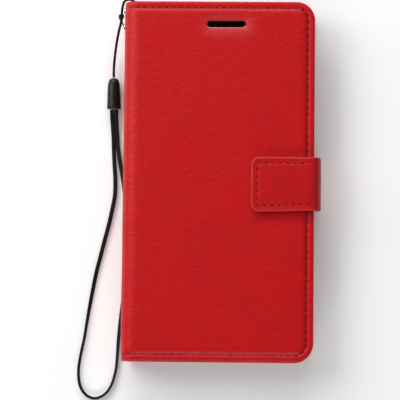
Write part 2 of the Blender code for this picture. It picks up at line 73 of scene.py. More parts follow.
# %% Sizes read from the solid model
MM = 0.001
TOUCHING = 1e-7
front_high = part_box("front_skin")[1]
FRONT_Z = front_high.z
EDGE_X = front_high.x
HALF_LENGTH = front_high.y
SPINE_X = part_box("spine_skin")[0].x
SHOULDER_R = 6 * MM
CORNER_R = 8.5 * MM
MIDDLE_Z = FRONT_Z / 2
FRONT_LINING_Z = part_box("front_lining")[0].z
BACK_LINING_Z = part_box("back_lining")[1].z
LINING_SPINE_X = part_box("spine_lining")[1].x
TAB_LOW, TAB_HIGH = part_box("strap_tab_shell")
TAB_UNDER_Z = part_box("strap_tab_lining")[0].z
SIDE_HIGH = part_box("strap_side_outer")[1]
STRAP_INNER_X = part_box("strap_side_lining")[0].x
STRAP_SHIFT = 0.6 * MM
STRAP_Y = (TAB_LOW.y + TAB_HIGH.y) / 2 - STRAP_SHIFT
STRAP_HALF = (TAB_HIGH.y - TAB_LOW.y) / 2
print("front face at", round(FRONT_Z / MM, 2), "mm, tab top at", round(TAB_HIGH.z / MM, 2), "mm")

# %% [markdown]
# ## Camera and light
# A long lens far above keeps the case's sides almost parallel. A flat, slightly shiny sheet shows
# what is opposite it, so no lamp hangs straight above: large soft boxes stand low at the head, at
# the spine side and at the foot. They light the leather's slopes and leave the flat parts deep red.

# %% Camera
camera_data = bpy.data.cameras.new("studio_camera")
camera_data.sensor_width = 36
camera_data.lens = 197.6
camera_data.clip_end = 10
camera = bpy.data.objects.new("studio_camera", camera_data)
camera.location = (0.0246, -0.1052, 1.0199)
camera.rotation_euler = [math.radians(turn) for turn in (5.495, 1.818, 0.619)]
bpy.context.scene.collection.objects.link(camera)
bpy.context.scene.camera = camera
bpy.context.scene.view_settings.view_transform = "Standard"
print("lens", camera_data.lens, "mm")


# %% Soft boxes
def soft_box(name, place, aim, width, height, watts):
    """A rectangular lamp that looks at a point."""
    data = bpy.data.lights.new(name, "AREA")
    data.shape = "RECTANGLE"
    data.size, data.size_y = width, height
    data.energy = watts
    lamp = bpy.data.objects.new(name, data)
    lamp.location = place
    lamp.rotation_euler = (Vector(aim) - Vector(place)).to_track_quat("-Z", "Y").to_euler()
    bpy.context.scene.collection.objects.link(lamp)


soft_box("head_light", (-0.20, 0.95, 0.62), (0, 0, 0), 1.1, 0.4, 8.6)
soft_box("spine_light", (-0.70, 0.35, 0.65), (0, 0, 0), 0.5, 0.8, 5.0)
soft_box("foot_light", (-0.10, -1.00, 0.55), (0, 0, 0), 1.0, 0.3, 5.0)
soft_box("free_side_light", (0.90, 0.10, 1.00), (0, 0, 0), 0.6, 0.8, 0.5)
world = bpy.data.worlds.new("studio")
world.use_nodes = True
world.node_tree.nodes["Background"].inputs["Color"].default_value = (1, 1, 1, 1)
world.node_tree.nodes["Background"].inputs["Strength"].default_value = 0.17
bpy.context.scene.world = world

# %% [markdown]
# ## Node groups
# Leather grain, a cord's weave and the fine wear of metal and plastic are each built once as a
# group of nodes and reused. A group only gives out numbers; each material keeps its own shader.


# %% Helpers for node trees
def feed(tree, socket, value):
    """Links another node's socket to an input, or sets the input to a plain value."""
    if isinstance(value, bpy.types.NodeSocket):
        tree.links.new(value, socket)
    else:
        socket.default_value = value


def new_group(name, inputs, outputs):
    """A shader node group with float or vector inputs and float outputs."""
    tree = bpy.data.node_groups.new(name, "ShaderNodeTree")
    for label, kind, value in inputs:
        socket = tree.interface.new_socket(label, in_out="INPUT", socket_type="NodeSocket" + kind)
        if kind == "Float":
            socket.default_value = value
    for label in outputs:
        tree.interface.new_socket(label, in_out="OUTPUT", socket_type="NodeSocketFloat")
    return tree, tree.nodes.new("NodeGroupInput"), tree.nodes.new("NodeGroupOutput")


def node(tree, kind, settings=None, **inputs):
    """A node with its settings and inputs. Unnamed inputs are given by number: i0, i1, i2."""
    made = tree.nodes.new("ShaderNode" + kind)
    for key, value in (settings or {}).items():
        setattr(made, key, value)
    for key, value in inputs.items():
        numbered = key[0] == "i" and key[1:].isdigit()
        feed(tree, made.inputs[int(key[1:]) if numbered else key.replace("_", " ")], value)
    return made


def math_node(tree, operation, first, second=0.0, third=0.0):
    made = node(tree, "Math", {"operation": operation}, i0=first, i1=second, i2=third)
    return made.outputs[0]


def ramp(tree, value, low, high, to_low=0.0, to_high=1.0):
    """Maps a range of values smoothly onto another."""
    made = node(tree, "MapRange", {"interpolation_type": "SMOOTHSTEP"}, Value=value, From_Min=low,
                From_Max=high, To_Min=to_low, To_Max=to_high)
    return made.outputs[0]


# %% Leather grain
def leather_grain_group():
    """Pebbles divided by creases, finer pores, and slow changes of tone."""
    tree, given, out = new_group(
        "leather_grain", [("Vector", "Vector", 0), ("Pebble Size", "Float", 1.7 * MM)],
        ["Height", "Tone", "Crease"])
    place = given.outputs["Vector"]
    per_metre = math_node(tree, "DIVIDE", 1.0, given.outputs["Pebble Size"])
    drift = node(tree, "TexNoise", Vector=place, Scale=210.0, Detail=3.0)
    drift_reach = (0.0028, 0.0028, 0.0028)
    shifted = node(tree, "VectorMath", {"operation": "MULTIPLY_ADD"}, i0=drift.outputs["Color"],
                   i1=drift_reach, i2=place)
    warped = shifted.outputs[0]
    cells = node(tree, "TexVoronoi", {"feature": "DISTANCE_TO_EDGE"}, Vector=warped, Scale=per_metre)
    pebbles = ramp(tree, cells.outputs["Distance"], 0.0, 0.16)
    long_way = node(tree, "Mapping", Vector=warped, Rotation=(0, 0, 0.5), Scale=(1.0, 1.9, 1.0))
    folds = node(tree, "TexNoise", Vector=long_way.outputs[0], Scale=210.0, Detail=5.0, Roughness=0.62)
    creases = ramp(tree, folds.outputs["Fac"], 0.36, 0.62)
    pores = node(tree, "TexNoise", Vector=place, Scale=2600.0, Detail=2.0)
    height = math_node(tree, "MULTIPLY_ADD", pebbles, 0.35, math_node(tree, "MULTIPLY", creases, 0.75))
    height = math_node(tree, "MULTIPLY_ADD", pores.outputs["Fac"], 0.22, height)
    slow = node(tree, "TexNoise", Vector=place, Scale=55.0, Detail=4.0, Roughness=0.6)
    tone = math_node(tree, "MULTIPLY_ADD", ramp(tree, slow.outputs["Fac"], 0.3, 0.7), 0.6,
                     math_node(tree, "MULTIPLY", creases, 0.4))
    tree.links.new(height, out.inputs["Height"])
    tree.links.new(tone, out.inputs["Tone"])
    tree.links.new(math_node(tree, "SUBTRACT", 1.0, pebbles), out.inputs["Crease"])
    return tree


# %% Cord weave
def cord_weave_group():
    """Slanted yarns that cross, from a cord's own length and girth."""
    tree, given, out = new_group(
        "cord_weave", [("Along", "Float", 0.0), ("Around", "Float", 0.0), ("Yarn", "Float", 0.5 * MM),
                       ("Yarns Round", "Float", 8.0)], ["Height", "Tone"])
    run = math_node(tree, "DIVIDE", given.outputs["Along"], given.outputs["Yarn"])
    turn = math_node(tree, "MULTIPLY", given.outputs["Around"], given.outputs["Yarns Round"])
    yarns = []
    for slant in ("ADD", "SUBTRACT"):
        half_turns = math_node(tree, "MULTIPLY", math_node(tree, slant, run, turn), math.pi)
        yarns.append(math_node(tree, "ABSOLUTE", math_node(tree, "SINE", half_turns)))
    cloth = math_node(tree, "MAXIMUM", *yarns)
    seat = node(tree, "CombineXYZ", X=run, Y=turn)
    fuzz = node(tree, "TexNoise", Vector=seat.outputs[0], Scale=1.7, Detail=3.0)
    tree.links.new(cloth, out.inputs["Height"])
    tree.links.new(math_node(tree, "MULTIPLY", cloth, fuzz.outputs["Fac"]), out.inputs["Tone"])
    return tree


# %% Fine wear
def fine_wear_group():
    """Faint hairlines and smudges for metal and moulded parts."""
    tree, given, out = new_group("fine_wear", [("Vector", "Vector", 0), ("Scale", "Float", 400.0)],
                                 ["Scratches", "Smudges"])
    place, scale = given.outputs["Vector"], given.outputs["Scale"]
    stretched = node(tree, "Mapping", Vector=place, Scale=(1.0, 9.0, 1.0))
    lines = node(tree, "TexNoise", Vector=stretched.outputs[0], Scale=scale, Detail=4.0)
    broad = math_node(tree, "MULTIPLY", scale, 0.25)
    smudges = node(tree, "TexNoise", Vector=place, Scale=broad, Detail=2.0)
    tree.links.new(lines.outputs["Fac"], out.inputs["Scratches"])
    tree.links.new(smudges.outputs["Fac"], out.inputs["Smudges"])
    return tree


leather_grain = leather_grain_group()
cord_weave = cord_weave_group()
fine_wear = fine_wear_group()
print("node groups:", sorted(tree.name for tree in bpy.data.node_groups))

# %% [markdown]
# ## Materials
# The leather is a polymer skin on cloth: one deep red, a little lighter where an edge is rubbed,
# with painted highlight round the slot and along the padding's top, and painted shade in the seams'
# hollows and on slopes that face away from the lamps. A sheet carries its own flat coordinates, so
# the grain bends with it and doesn't slide when the case opens. Solid parts use object coordinates
# instead.


# %% Helpers for materials
def new_material(name, **plain):
    """A material whose shader has its constant values set."""
    made = bpy.data.materials.new(name)
    made.use_nodes = True
    shader = made.node_tree.nodes["Principled BSDF"]
    for key, value in plain.items():
        shader.inputs[key.replace("_", " ")].default_value = value
    return made, made.node_tree, shader


def use_group(tree, group, **inputs):
    made = tree.nodes.new("ShaderNodeGroup")
    made.node_tree = group
    for key, value in inputs.items():
        feed(tree, made.inputs[key.replace("_", " ")], value)
    return made.outputs


def attribute(tree, name, output="Fac"):
    return node(tree, "Attribute", {"attribute_name": name}).outputs[output]


def object_place(tree):
    return node(tree, "TexCoord").outputs["Object"]


def blend_colours(tree, factor, first, second):
    """A colour between two, which may be sockets or plain colours."""
    mix = tree.nodes.new("ShaderNodeMix")
    mix.data_type = "RGBA"
    for number, value in ((0, factor), (6, first), (7, second)):
        feed(tree, mix.inputs[number], value)
    return mix.outputs[2]


def bump(tree, shader, height, strength, distance):
    made = node(tree, "Bump", Height=height, Strength=strength, Distance=distance)
    tree.links.new(made.outputs["Normal"], shader.inputs["Normal"])


# %% Leathers
DEEP_RED = (0.495, 0.0012, 0.0026, 1)
LIGHT_RED = (0.580, 0.0036, 0.0056, 1)
WEAR_AND_HIGHLIGHT_RED = (0.60, 0.034, 0.042, 1)
SEAM_SHADE_RED = (0.16, 0.001, 0.002, 1)
HOLE_SHADE_REDS = ((0.035, 0.0, 0.001, 1), (0.09, 0.001, 0.002, 1))


def leather(name, deep, light, wear_and_highlight, pebble, roughness, on_sheet, relief=0.14 * MM):
    """Red leather: mottled colour, grain in the surface, and on a sheet rubbed rims, painted highlights and
    painted shade in the seams.
    """
    made, tree, shader = new_material(name, Specular_IOR_Level=0.24, Coat_Weight=0.04,
                                      Coat_Roughness=0.3)
    place = attribute(tree, "flat", "Vector") if on_sheet else object_place(tree)
    grain = use_group(tree, leather_grain, Vector=place, Pebble_Size=pebble)
    colour = blend_colours(tree, grain["Tone"], deep, light)
    if on_sheet:
        # Rubbed edges, and painted highlight round the slot and along the padding, lighten the colour.
        colour = blend_colours(tree, attribute(tree, "rim"), colour, wear_and_highlight)
        # Painted shade darkens the seams' hollows and slopes that face away from the lamps.
        colour = blend_colours(tree, attribute(tree, "seam"), colour, SEAM_SHADE_RED)
    tree.links.new(colour, shader.inputs["Base Color"])
    rough = ramp(tree, grain["Tone"], 0.0, 1.0, roughness + 0.07, roughness - 0.05)
    tree.links.new(rough, shader.inputs["Roughness"])
    bump(tree, shader, grain["Height"], 0.6, relief)
    return made


outer_leather = leather("outer_leather", DEEP_RED, LIGHT_RED, WEAR_AND_HIGHLIGHT_RED, 1.7 * MM, 0.43, True)
strap_leather = leather("strap_leather", (0.47, 0.001, 0.002, 1), (0.54, 0.003, 0.005, 1), WEAR_AND_HIGHLIGHT_RED,
                        1.4 * MM, 0.46, True, 0.08 * MM)
lining_leather = leather("lining_leather", (0.36, 0.006, 0.009, 1), (0.43, 0.012, 0.015, 1),
                         (0.45, 0.02, 0.025, 1), 1.1 * MM, 0.55, True, 0.07 * MM)
pocket_leather = leather("pocket_leather", (0.37, 0.006, 0.009, 1), (0.44, 0.012, 0.015, 1),
                         WEAR_AND_HIGHLIGHT_RED, 1.1 * MM, 0.55, False, 0.07 * MM)
print("leathers:", [made.name for made in bpy.data.materials if "leather" in made.name])


# %% Thread and needle holes
def thread_material(name, dark, light):
    """Twisted polyester thread."""
    made, tree, shader = new_material(name, Roughness=0.55, Specular_IOR_Level=0.25)
    place = object_place(tree)
    twist = node(tree, "TexWave", {"bands_direction": "DIAGONAL"}, Vector=place, Scale=1500.0,
                 Distortion=1.5)
    tree.links.new(blend_colours(tree, twist.outputs["Fac"], dark, light), shader.inputs["Base Color"])
    bump(tree, shader, twist.outputs["Fac"], 0.6, 0.08 * MM)
    return made


def pierced_material():
    """Painted shade: the dark inside of a needle hole, speckled like torn leather."""
    made, tree, shader = new_material("needle_hole", Roughness=0.9, Specular_IOR_Level=0.1)
    speckle = node(tree, "TexNoise", Vector=object_place(tree), Scale=4000.0)
    colour = blend_colours(tree, speckle.outputs["Fac"], *HOLE_SHADE_REDS)
    tree.links.new(colour, shader.inputs["Base Color"])
    return made


red_thread = thread_material("red_thread", (0.42, 0.004, 0.006, 1), (0.60, 0.022, 0.028, 1))
needle_hole = pierced_material()


# %% Cords, metal, plastic, board and foam
def cord_material(name, yarn, yarns_round, relief):
    """Black nylon woven from slanted yarns."""
    made, tree, shader = new_material(name, Roughness=0.6, Specular_IOR_Level=0.2)
    weave = use_group(tree, cord_weave, Along=attribute(tree, "along"), Around=attribute(tree, "around"),
                      Yarn=yarn, Yarns_Round=yarns_round)
    colour = blend_colours(tree, weave["Tone"], (0.0015, 0.0015, 0.0018, 1), (0.011, 0.011, 0.012, 1))
    tree.links.new(colour, shader.inputs["Base Color"])
    bump(tree, shader, weave["Height"], 0.8, relief)
    return made


def worn_material(name, dark, light, rough_low, rough_high, scale, relief, **plain):
    """Plain material with hairlines in its gloss and smudges in its colour."""
    made, tree, shader = new_material(name, **plain)
    wear = use_group(tree, fine_wear, Vector=object_place(tree), Scale=scale)
    tree.links.new(blend_colours(tree, wear["Smudges"], dark, light), shader.inputs["Base Color"])
    rough = ramp(tree, wear["Scratches"], 0.2, 0.8, rough_low, rough_high)
    tree.links.new(rough, shader.inputs["Roughness"])
    bump(tree, shader, wear["Scratches"], 0.3, relief)
    return made


string_weave = cord_material("string_weave", 0.55 * MM, 3.0, 0.06 * MM)
ribbon_weave = cord_material("ribbon_weave", 0.5 * MM, 5.0, 0.08 * MM)
nickel = worn_material("nickel", (0.55, 0.54, 0.53, 1), (0.72, 0.71, 0.70, 1), 0.14, 0.3, 900.0,
                       0.01 * MM, Metallic=1.0)
magnet_steel = worn_material("magnet_steel", (0.35, 0.35, 0.36, 1), (0.5, 0.5, 0.5, 1), 0.3, 0.5,
                             500.0, 0.02 * MM, Metallic=1.0)
black_rubber = worn_material("black_rubber", (0.008, 0.008, 0.009, 1), (0.016, 0.016, 0.017, 1),
                             0.4, 0.55, 300.0, 0.03 * MM, Specular_IOR_Level=0.4)
black_plastic = worn_material("black_plastic", (0.003, 0.003, 0.0033, 1), (0.007, 0.007, 0.0075, 1),
                              0.3, 0.42, 700.0, 0.02 * MM, Specular_IOR_Level=0.3)
grey_board = worn_material("grey_board", (0.26, 0.24, 0.21, 1), (0.38, 0.36, 0.32, 1), 0.8, 0.95,
                           900.0, 0.06 * MM)
white_foam = worn_material("white_foam", (0.68, 0.68, 0.65, 1), (0.82, 0.82, 0.79, 1), 0.85, 0.95,
                           1500.0, 0.1 * MM)
floor_card = worn_material("floor_card", (0.93, 0.93, 0.93, 1), (0.95, 0.95, 0.95, 1), 0.85, 0.95,
                           60.0, 0.01 * MM, Specular_IOR_Level=0.1, Emission_Color=(1, 1, 1, 1),
                           Emission_Strength=0.12)
print("materials:", len(bpy.data.materials))

# %% [markdown]
# ## The floor
# A large card under the case catches its shadow. It lies a little below the case's back, because
# the padded front hangs slightly lower than the back when the case is opened out flat.

# %% Floor
FLOOR_Z = -0.6 * MM
FLOOR_HALF = 2.5
floor_bm = bmesh.new()
bmesh.ops.create_grid(floor_bm, x_segments=1, y_segments=1, size=FLOOR_HALF)
bmesh.ops.translate(floor_bm, verts=floor_bm.verts, vec=(0, 0, FLOOR_Z))
floor_mesh = bpy.data.meshes.new("floor")
floor_bm.to_mesh(floor_mesh)
floor_bm.free()
floor_mesh.materials.append(floor_card)
floor = bpy.data.objects.new("floor", floor_mesh)
bpy.context.scene.collection.objects.link(floor)
print("floor at", round(FLOOR_Z / MM, 2), "mm")

# %% [markdown]
# ## The lanyard's cords
# A twisted string is hitched to the ring, its tail runs round the spine's end into the case, and
# a moulded plug joins it to a loop of woven ribbon. A bevelled curve would do for a plain wire,
# but these have a lobed and a flat section that turn as they run, so a small outline is extruded
# ring by ring along a smooth line. Each point keeps how far along and around it lies. The plug is
# spun from a profile, like a part on a lathe, and the hitch is a few turned coils of the string.


# %% A smooth line through a route
FINE_STEPS = 24


def smooth_line(route, spacing):
    """Even points on a smooth curve through a route given in millimetres."""
    knots = [Vector(point) * MM for point in route]
    knots = [2 * knots[0] - knots[1], *knots, 2 * knots[-1] - knots[-2]]
    fine = []
    for a, b, c, d in zip(knots, knots[1:], knots[2:], knots[3:]):
        for step in range(FINE_STEPS):
            t = step / FINE_STEPS
            fine.append(0.5 * (2 * b + (c - a) * t + (2 * a - 5 * b + 4 * c - d) * t ** 2
                               + (3 * b - a - 3 * c + d) * t ** 3))
    fine.append(knots[-2])
    reach = [0.0]
    for a, b in zip(fine, fine[1:]):
        reach.append(reach[-1] + (b - a).length)
    count = round(reach[-1] / spacing)
    points, at = [], 0
    for step in range(count + 1):
        goal = reach[-1] * step / count
        while at < len(fine) - 2 and reach[at + 1] < goal:
            at += 1
        share = (goal - reach[at]) / (reach[at + 1] - reach[at])
        points.append(fine[at].lerp(fine[at + 1], min(share, 1)))
    return points, reach[-1]


def put_in_scene(name, bm, material):
    """Makes a smooth-shaded piece of a finished bmesh."""
    mesh = bpy.data.meshes.new(name)
    for face in bm.faces:
        face.smooth = True
    bm.to_mesh(mesh)
    bm.free()
    mesh.materials.append(material)
    piece = bpy.data.objects.new(name, mesh)
    bpy.context.scene.collection.objects.link(piece)
    return piece


def swept_cord(name, line, section, sides, material):
    """Extrudes a closed outline along a line; section(angle, along) gives a point across it."""
    bm = bmesh.new()
    along_layer = bm.verts.layers.float.new("along")
    around_layer = bm.verts.layers.float.new("around")
    ring = bmesh.ops.create_circle(bm, cap_ends=False, segments=sides, radius=1)["verts"]
    for vert in ring:
        vert[around_layer] = (math.atan2(vert.co.y, vert.co.x) / math.tau) % 1
    edges = list(bm.edges)
    first_edges = edges
    reach = 0.0
    for at, place in enumerate(line):
        before, after = line[max(at - 1, 0)], line[min(at + 1, len(line) - 1)]
        forward = (after - before).normalized()
        side = forward.cross(Vector((0, 0, 1))).normalized()
        up = side.cross(forward)
        if at:
            reach += (place - line[at - 1]).length
            made = bmesh.ops.extrude_edge_only(bm, edges=edges)["geom"]
            ring = [item for item in made if isinstance(item, bmesh.types.BMVert)]
            edges = [item for item in made if isinstance(item, bmesh.types.BMEdge)]
        for vert in ring:
            across, rise = section(vert[around_layer] * math.tau, reach)
            vert.co = place + side * across + up * rise
            vert[along_layer] = reach
    bmesh.ops.edgenet_fill(bm, edges=first_edges)
    bmesh.ops.edgenet_fill(bm, edges=edges)
    bmesh.ops.recalc_face_normals(bm, faces=list(bm.faces))
    return put_in_scene(name, bm, material)


# %% Plug
PLUG_TOP = Vector((-49.7, 49.1, 3.4)) * MM
PLUG_BOTTOM = Vector((-49.4, 34.7, 3.35)) * MM
PLUG_PROFILE = (
    (0.0, 0.0), (1.2, 0.0), (1.75, 0.015), (2.15, 0.05), (2.5, 0.1), (2.75, 0.17), (2.92, 0.26),
    (3.03, 0.4), (3.12, 0.6), (3.24, 0.85), (3.32, 0.95), (3.28, 0.99), (3.05, 1.0), (0.0, 0.985),
)
plug_axis = PLUG_BOTTOM - PLUG_TOP
plug_bm = bmesh.new()
spokes = [plug_bm.verts.new((r * MM, 0, share * plug_axis.length)) for r, share in PLUG_PROFILE]
spoke_edges = [plug_bm.edges.new(pair) for pair in zip(spokes, spokes[1:])]
bmesh.ops.spin(plug_bm, geom=spokes + spoke_edges, cent=(0, 0, 0), axis=(0, 0, 1), angle=math.tau,
               steps=40, use_merge=True)
bmesh.ops.remove_doubles(plug_bm, verts=list(plug_bm.verts), dist=0.001 * MM)
turn = plug_axis.to_track_quat("Z", "Y").to_matrix().to_4x4()
bmesh.ops.transform(plug_bm, matrix=Matrix.Translation(PLUG_TOP) @ turn, verts=list(plug_bm.verts))
bmesh.ops.recalc_face_normals(plug_bm, faces=list(plug_bm.faces))
plug = put_in_scene("lanyard_plug", plug_bm, black_plastic)
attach(plug, "lanyard")
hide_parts("ferrule")
print("plug:", round(plug_axis.length / MM, 1), "mm long")


# %% Knot
COIL_R = 0.82 * MM
COIL_WIRE_R = 0.42 * MM
COILS = ((-0.75, 8, 1.0), (0.0, -6, 1.12), (0.75, 10, 1.0), (0.1, 62, 1.18))
KNOT_SHIFT_X = -0.15 * MM


def coil(bm, centre, ring_r, turn):
    """One turn of string, as a circle spun round the coil's middle."""
    start = Matrix.Translation((ring_r, 0, 0)) @ Matrix.Rotation(math.pi / 2, 4, "X")
    verts = bmesh.ops.create_circle(bm, cap_ends=False, segments=10, radius=COIL_WIRE_R,
                                    matrix=start)["verts"]
    edges = list(dict.fromkeys(edge for vert in verts for edge in vert.link_edges))
    bmesh.ops.spin(bm, geom=verts + edges, cent=(0, 0, 0), axis=(0, 0, 1), angle=math.tau,
                   steps=28, use_merge=True)
    whole = {vert for face in bm.faces for vert in face.verts if not vert.tag}
    bmesh.ops.transform(bm, matrix=Matrix.Translation(centre) @ turn, verts=list(whole))
    for vert in whole:
        vert.tag = True


knot_low, knot_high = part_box("hitch_knot")
knot_middle = (knot_low + knot_high) / 2
knot_bm = bmesh.new()
along_layer = knot_bm.verts.layers.float.new("along")
around_layer = knot_bm.verts.layers.float.new("around")
for shift, lean, size in COILS:
    turn = Matrix.Rotation(math.pi / 2, 4, "X") @ Matrix.Rotation(math.radians(lean), 4, "Y")
    coil(knot_bm, knot_middle + Vector((KNOT_SHIFT_X, shift * MM, 0)), size * COIL_R, turn)
for vert in knot_bm.verts:
    vert[along_layer] = vert.co.y + vert.co.x
    vert[around_layer] = math.atan2(vert.co.z - knot_middle.z, vert.co.x - knot_middle.x) / math.tau
bmesh.ops.recalc_face_normals(knot_bm, faces=list(knot_bm.faces))
knot = put_in_scene("string_hitch", knot_bm, string_weave)
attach(knot, "spine")
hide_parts("hitch_knot")
print("knot:", len(knot.data.polygons), "faces")

# %% The string
STRING_ROUTE = (
    (-38.6, 79.0, 12.0), (-39.0, 82.2, 12.1), (-40.4, 84.3, 12.2), (-42.6, 85.0, 12.3),
    (-44.6, 84.0, 12.5), (-45.4, 81.6, 12.6), (-45.7, 79.2, 12.6), (-45.85, 76.8, 12.5),
    (-46.1, 74.2, 12.1), (-46.7, 72.0, 11.2), (-47.3, 69.7, 10.0), (-48.1, 66.1, 8.5),
    (-48.7, 62.6, 7.0), (-49.2, 59.0, 5.8), (-49.6, 55.3, 4.7), (-49.75, 52.0, 3.8),
    (-49.7, 49.5, 3.4),
)
STRING_R = 0.68 * MM
TWIST = 3.2 * MM


def string_section(angle, along):
    """Three strands that turn round each other."""
    lobes = 0.88 + 0.12 * math.cos(3 * angle)
    turned = angle + math.tau * along / TWIST
    return STRING_R * lobes * math.cos(turned), STRING_R * lobes * math.sin(turned)


string_line, string_length = smooth_line(STRING_ROUTE, 0.32 * MM)
string = swept_cord("lanyard_string", string_line, string_section, 18, string_weave)
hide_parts("string")
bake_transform(string, "spine", "lanyard", start=(-0.0459, 0.0755, 0.0124), end=(-0.0484, 0.0640, 0.0077))
print("string", round(string_length / MM, 1), "mm")

# %% The wrist loop
RIBBON_ROUTE = (
    (-50.4, 34.3, 3.3), (-50.2, 30.0, 2.6), (-49.9, 25.6, 1.6), (-49.6, 21.0, 1.0),
    (-49.4, 16.0, 0.9), (-49.0, 9.0, 0.9), (-48.5, 1.5, 0.9), (-48.6, -5.5, 0.9),
    (-49.7, -12.1, 0.9), (-51.3, -19.7, 0.9), (-53.2, -27.2, 0.9), (-55.0, -34.7, 0.9),
    (-56.8, -42.2, 0.9), (-58.2, -49.7, 0.9), (-59.5, -57.2, 0.9), (-60.7, -64.7, 0.9),
    (-61.8, -72.1, 0.9), (-63.3, -79.6, 0.9), (-64.3, -87.0, 0.9), (-63.6, -94.0, 0.9),
    (-60.6, -98.6, 0.9), (-56.4, -100.1, 0.9), (-52.0, -98.2, 0.9), (-49.0, -94.0, 0.9),
    (-47.1, -87.4, 0.9), (-46.4, -80.5, 0.9), (-46.0, -73.0, 0.9), (-45.3, -65.0, 0.9),
    (-44.4, -57.0, 0.9), (-43.6, -49.0, 0.9), (-43.1, -39.0, 0.9), (-43.0, -27.0, 0.9),
    (-43.2, -15.0, 0.9), (-44.1, -4.0, 0.9), (-45.4, 4.5, 0.9), (-46.6, 11.0, 0.9),
    (-47.5, 17.0, 0.9), (-47.8, 21.5, 1.0), (-48.1, 25.6, 1.6), (-48.3, 30.0, 2.6),
    (-48.4, 34.3, 3.3),
)
RIBBON_WIDTH = 1.95 * MM
RIBBON_THICK = 0.8 * MM
SQUARENESS = 0.7
RIBBON_TURNS = ((0, 0), (62, 5), (112, 62), (150, 58), (190, 30), (235, 12), (290, 0))


def between(pairs, at):
    """Reads a value from pairs of place and value, smoothly."""
    if at <= pairs[0][0]:
        return pairs[0][1]
    for (low, first), (high, second) in zip(pairs, pairs[1:]):
        if at <= high:
            share = (at - low) / (high - low)
            return first + (second - first) * share * share * (3 - 2 * share)
    return pairs[-1][1]


def ribbon_section(angle, along):
    """A flat rounded outline that leans over as it runs."""
    lean = math.radians(between(RIBBON_TURNS, along / MM))
    wide = RIBBON_WIDTH / 2 * math.copysign(abs(math.cos(angle)) ** SQUARENESS, math.cos(angle))
    thick = RIBBON_THICK / 2 * math.copysign(abs(math.sin(angle)) ** SQUARENESS, math.sin(angle))
    return (wide * math.cos(lean) - thick * math.sin(lean),
            wide * math.sin(lean) + thick * math.cos(lean))


ribbon_line, ribbon_length = smooth_line(RIBBON_ROUTE, 0.8 * MM)
ribbon = swept_cord("wrist_ribbon", ribbon_line, ribbon_section, 16, ribbon_weave)
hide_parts("wrist_loop")
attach(ribbon, "lanyard")
print("ribbon", round(ribbon_length / MM, 1), "mm")

# %% [markdown]
# ## Sheets of leather
# Every skin and lining of the case is one idea: a flat piece with round free corners, shaped on
# the bench, then folded once round a shoulder. Wrapping a box with a shrink modifier would lose
# the even border, so the flat piece is cut with rings that follow its outline. The rings carry the
# border, the seam's hollow and the padded slope, and the last ones roll round the board's edge.


# %% Distances on the flat piece
def inside_distance(x, y, right, half, corner):
    """How far a point lies inside the outline, which is open on the left."""
    dx, dy = x - (right - corner), abs(y) - (half - corner)
    if dx > 0 and dy > 0:
        return corner - math.hypot(dx, dy)
    return min(corner - dx, corner - dy)


def outward_way(x, y, left, right, half, corner):
    """The way out of the sheet at a point of its outline."""
    dx, dy = x - (right - corner), abs(y) - (half - corner)
    if dx > 0 and dy > 0:
        return Vector((dx, math.copysign(dy, y), 0)).normalized()
    near = 0.01 * MM
    if x > right - near:
        return Vector((1, 0, 0))
    if x < left + near and abs(y) < half - near:
        return Vector((-1, 0, 0))
    return Vector((0, math.copysign(1, y), 0))


# %% Cutting the flat piece
def flat_piece(left, right, half, corner, rings, step):
    """An outline with round free corners and rings that follow it inward."""
    bm = bmesh.new()
    bm.verts.layers.float_vector.new("base")
    bm.verts.layers.float.new("down")
    panel = bm.faces.layers.int.new("panel")
    bmesh.ops.create_grid(bm, x_segments=1, y_segments=1, size=0.5)
    bmesh.ops.scale(bm, verts=bm.verts, vec=(right - left, 2 * half, 1))
    bmesh.ops.translate(bm, verts=bm.verts, vec=((right + left) / 2, 0, 0))
    free = [vert for vert in bm.verts if vert.co.x > (right + left) / 2]
    bmesh.ops.bevel(bm, geom=free, offset=corner, offset_type="OFFSET", segments=12, profile=0.5,
                    affect="VERTICES", material=-1)
    for edge in [edge for edge in bm.edges if edge.calc_length() > 2 * step]:
        bmesh.ops.subdivide_edges(bm, edges=[edge], cuts=int(edge.calc_length() / step))
    bm.faces.ensure_lookup_table()
    inner = bm.faces[0]
    inner[panel] = 1
    for width in rings:
        made = bmesh.ops.inset_region(bm, faces=[inner], thickness=width, use_even_offset=True,
                                      use_boundary=True)
        for face in made["faces"]:
            face[panel] = 0
        inner[panel] = 1
    return bm


def cut_across(bm, axis, place, low=None, high=None, panel=None):
    """Cuts the faces that a plane passes through: all, or those in a box or in the panel."""
    chosen = []
    for face in bm.faces:
        if panel is not None and not face[panel]:
            continue
        reach = [vert.co[axis] for vert in face.verts]
        if not min(reach) < place < max(reach):
            continue
        if low is not None:
            spans = [sorted(vert.co[i] for vert in face.verts) for i in (0, 1)]
            if any(span[-1] < low[i] or span[0] > high[i] for i, span in enumerate(spans)):
                continue
        chosen += [face, *face.verts, *face.edges]
    if chosen:
        normal = Vector((axis == 0, axis == 1, 0))
        bmesh.ops.bisect_plane(bm, geom=list(dict.fromkeys(chosen)), dist=TOUCHING,
                               plane_co=normal * place, plane_no=normal)


def remember_flat_places(bm):
    """Notes where each point lies before the sheet is shaped, except on an edge already turned."""
    base, down = bm.verts.layers.float_vector["base"], bm.verts.layers.float["down"]
    for vert in bm.verts:
        if not vert[down]:
            vert[base] = vert.co


# %% Rolling the edge under
def rolled_profile(radius, thickness, hem):
    """Steps outward and down: round the edge, down its side, and back under as a hem."""
    steps = []
    for turn in (20, 40, 60, 80, 90):
        angle = math.radians(turn)
        steps.append((radius * math.sin(angle), radius * (1 - math.cos(angle))))
    for turn in (10, 35, 60, 90):
        angle = math.radians(turn)
        steps.append((radius * math.cos(angle), thickness - radius + radius * math.sin(angle)))
    steps.append((-hem, thickness))
    return steps


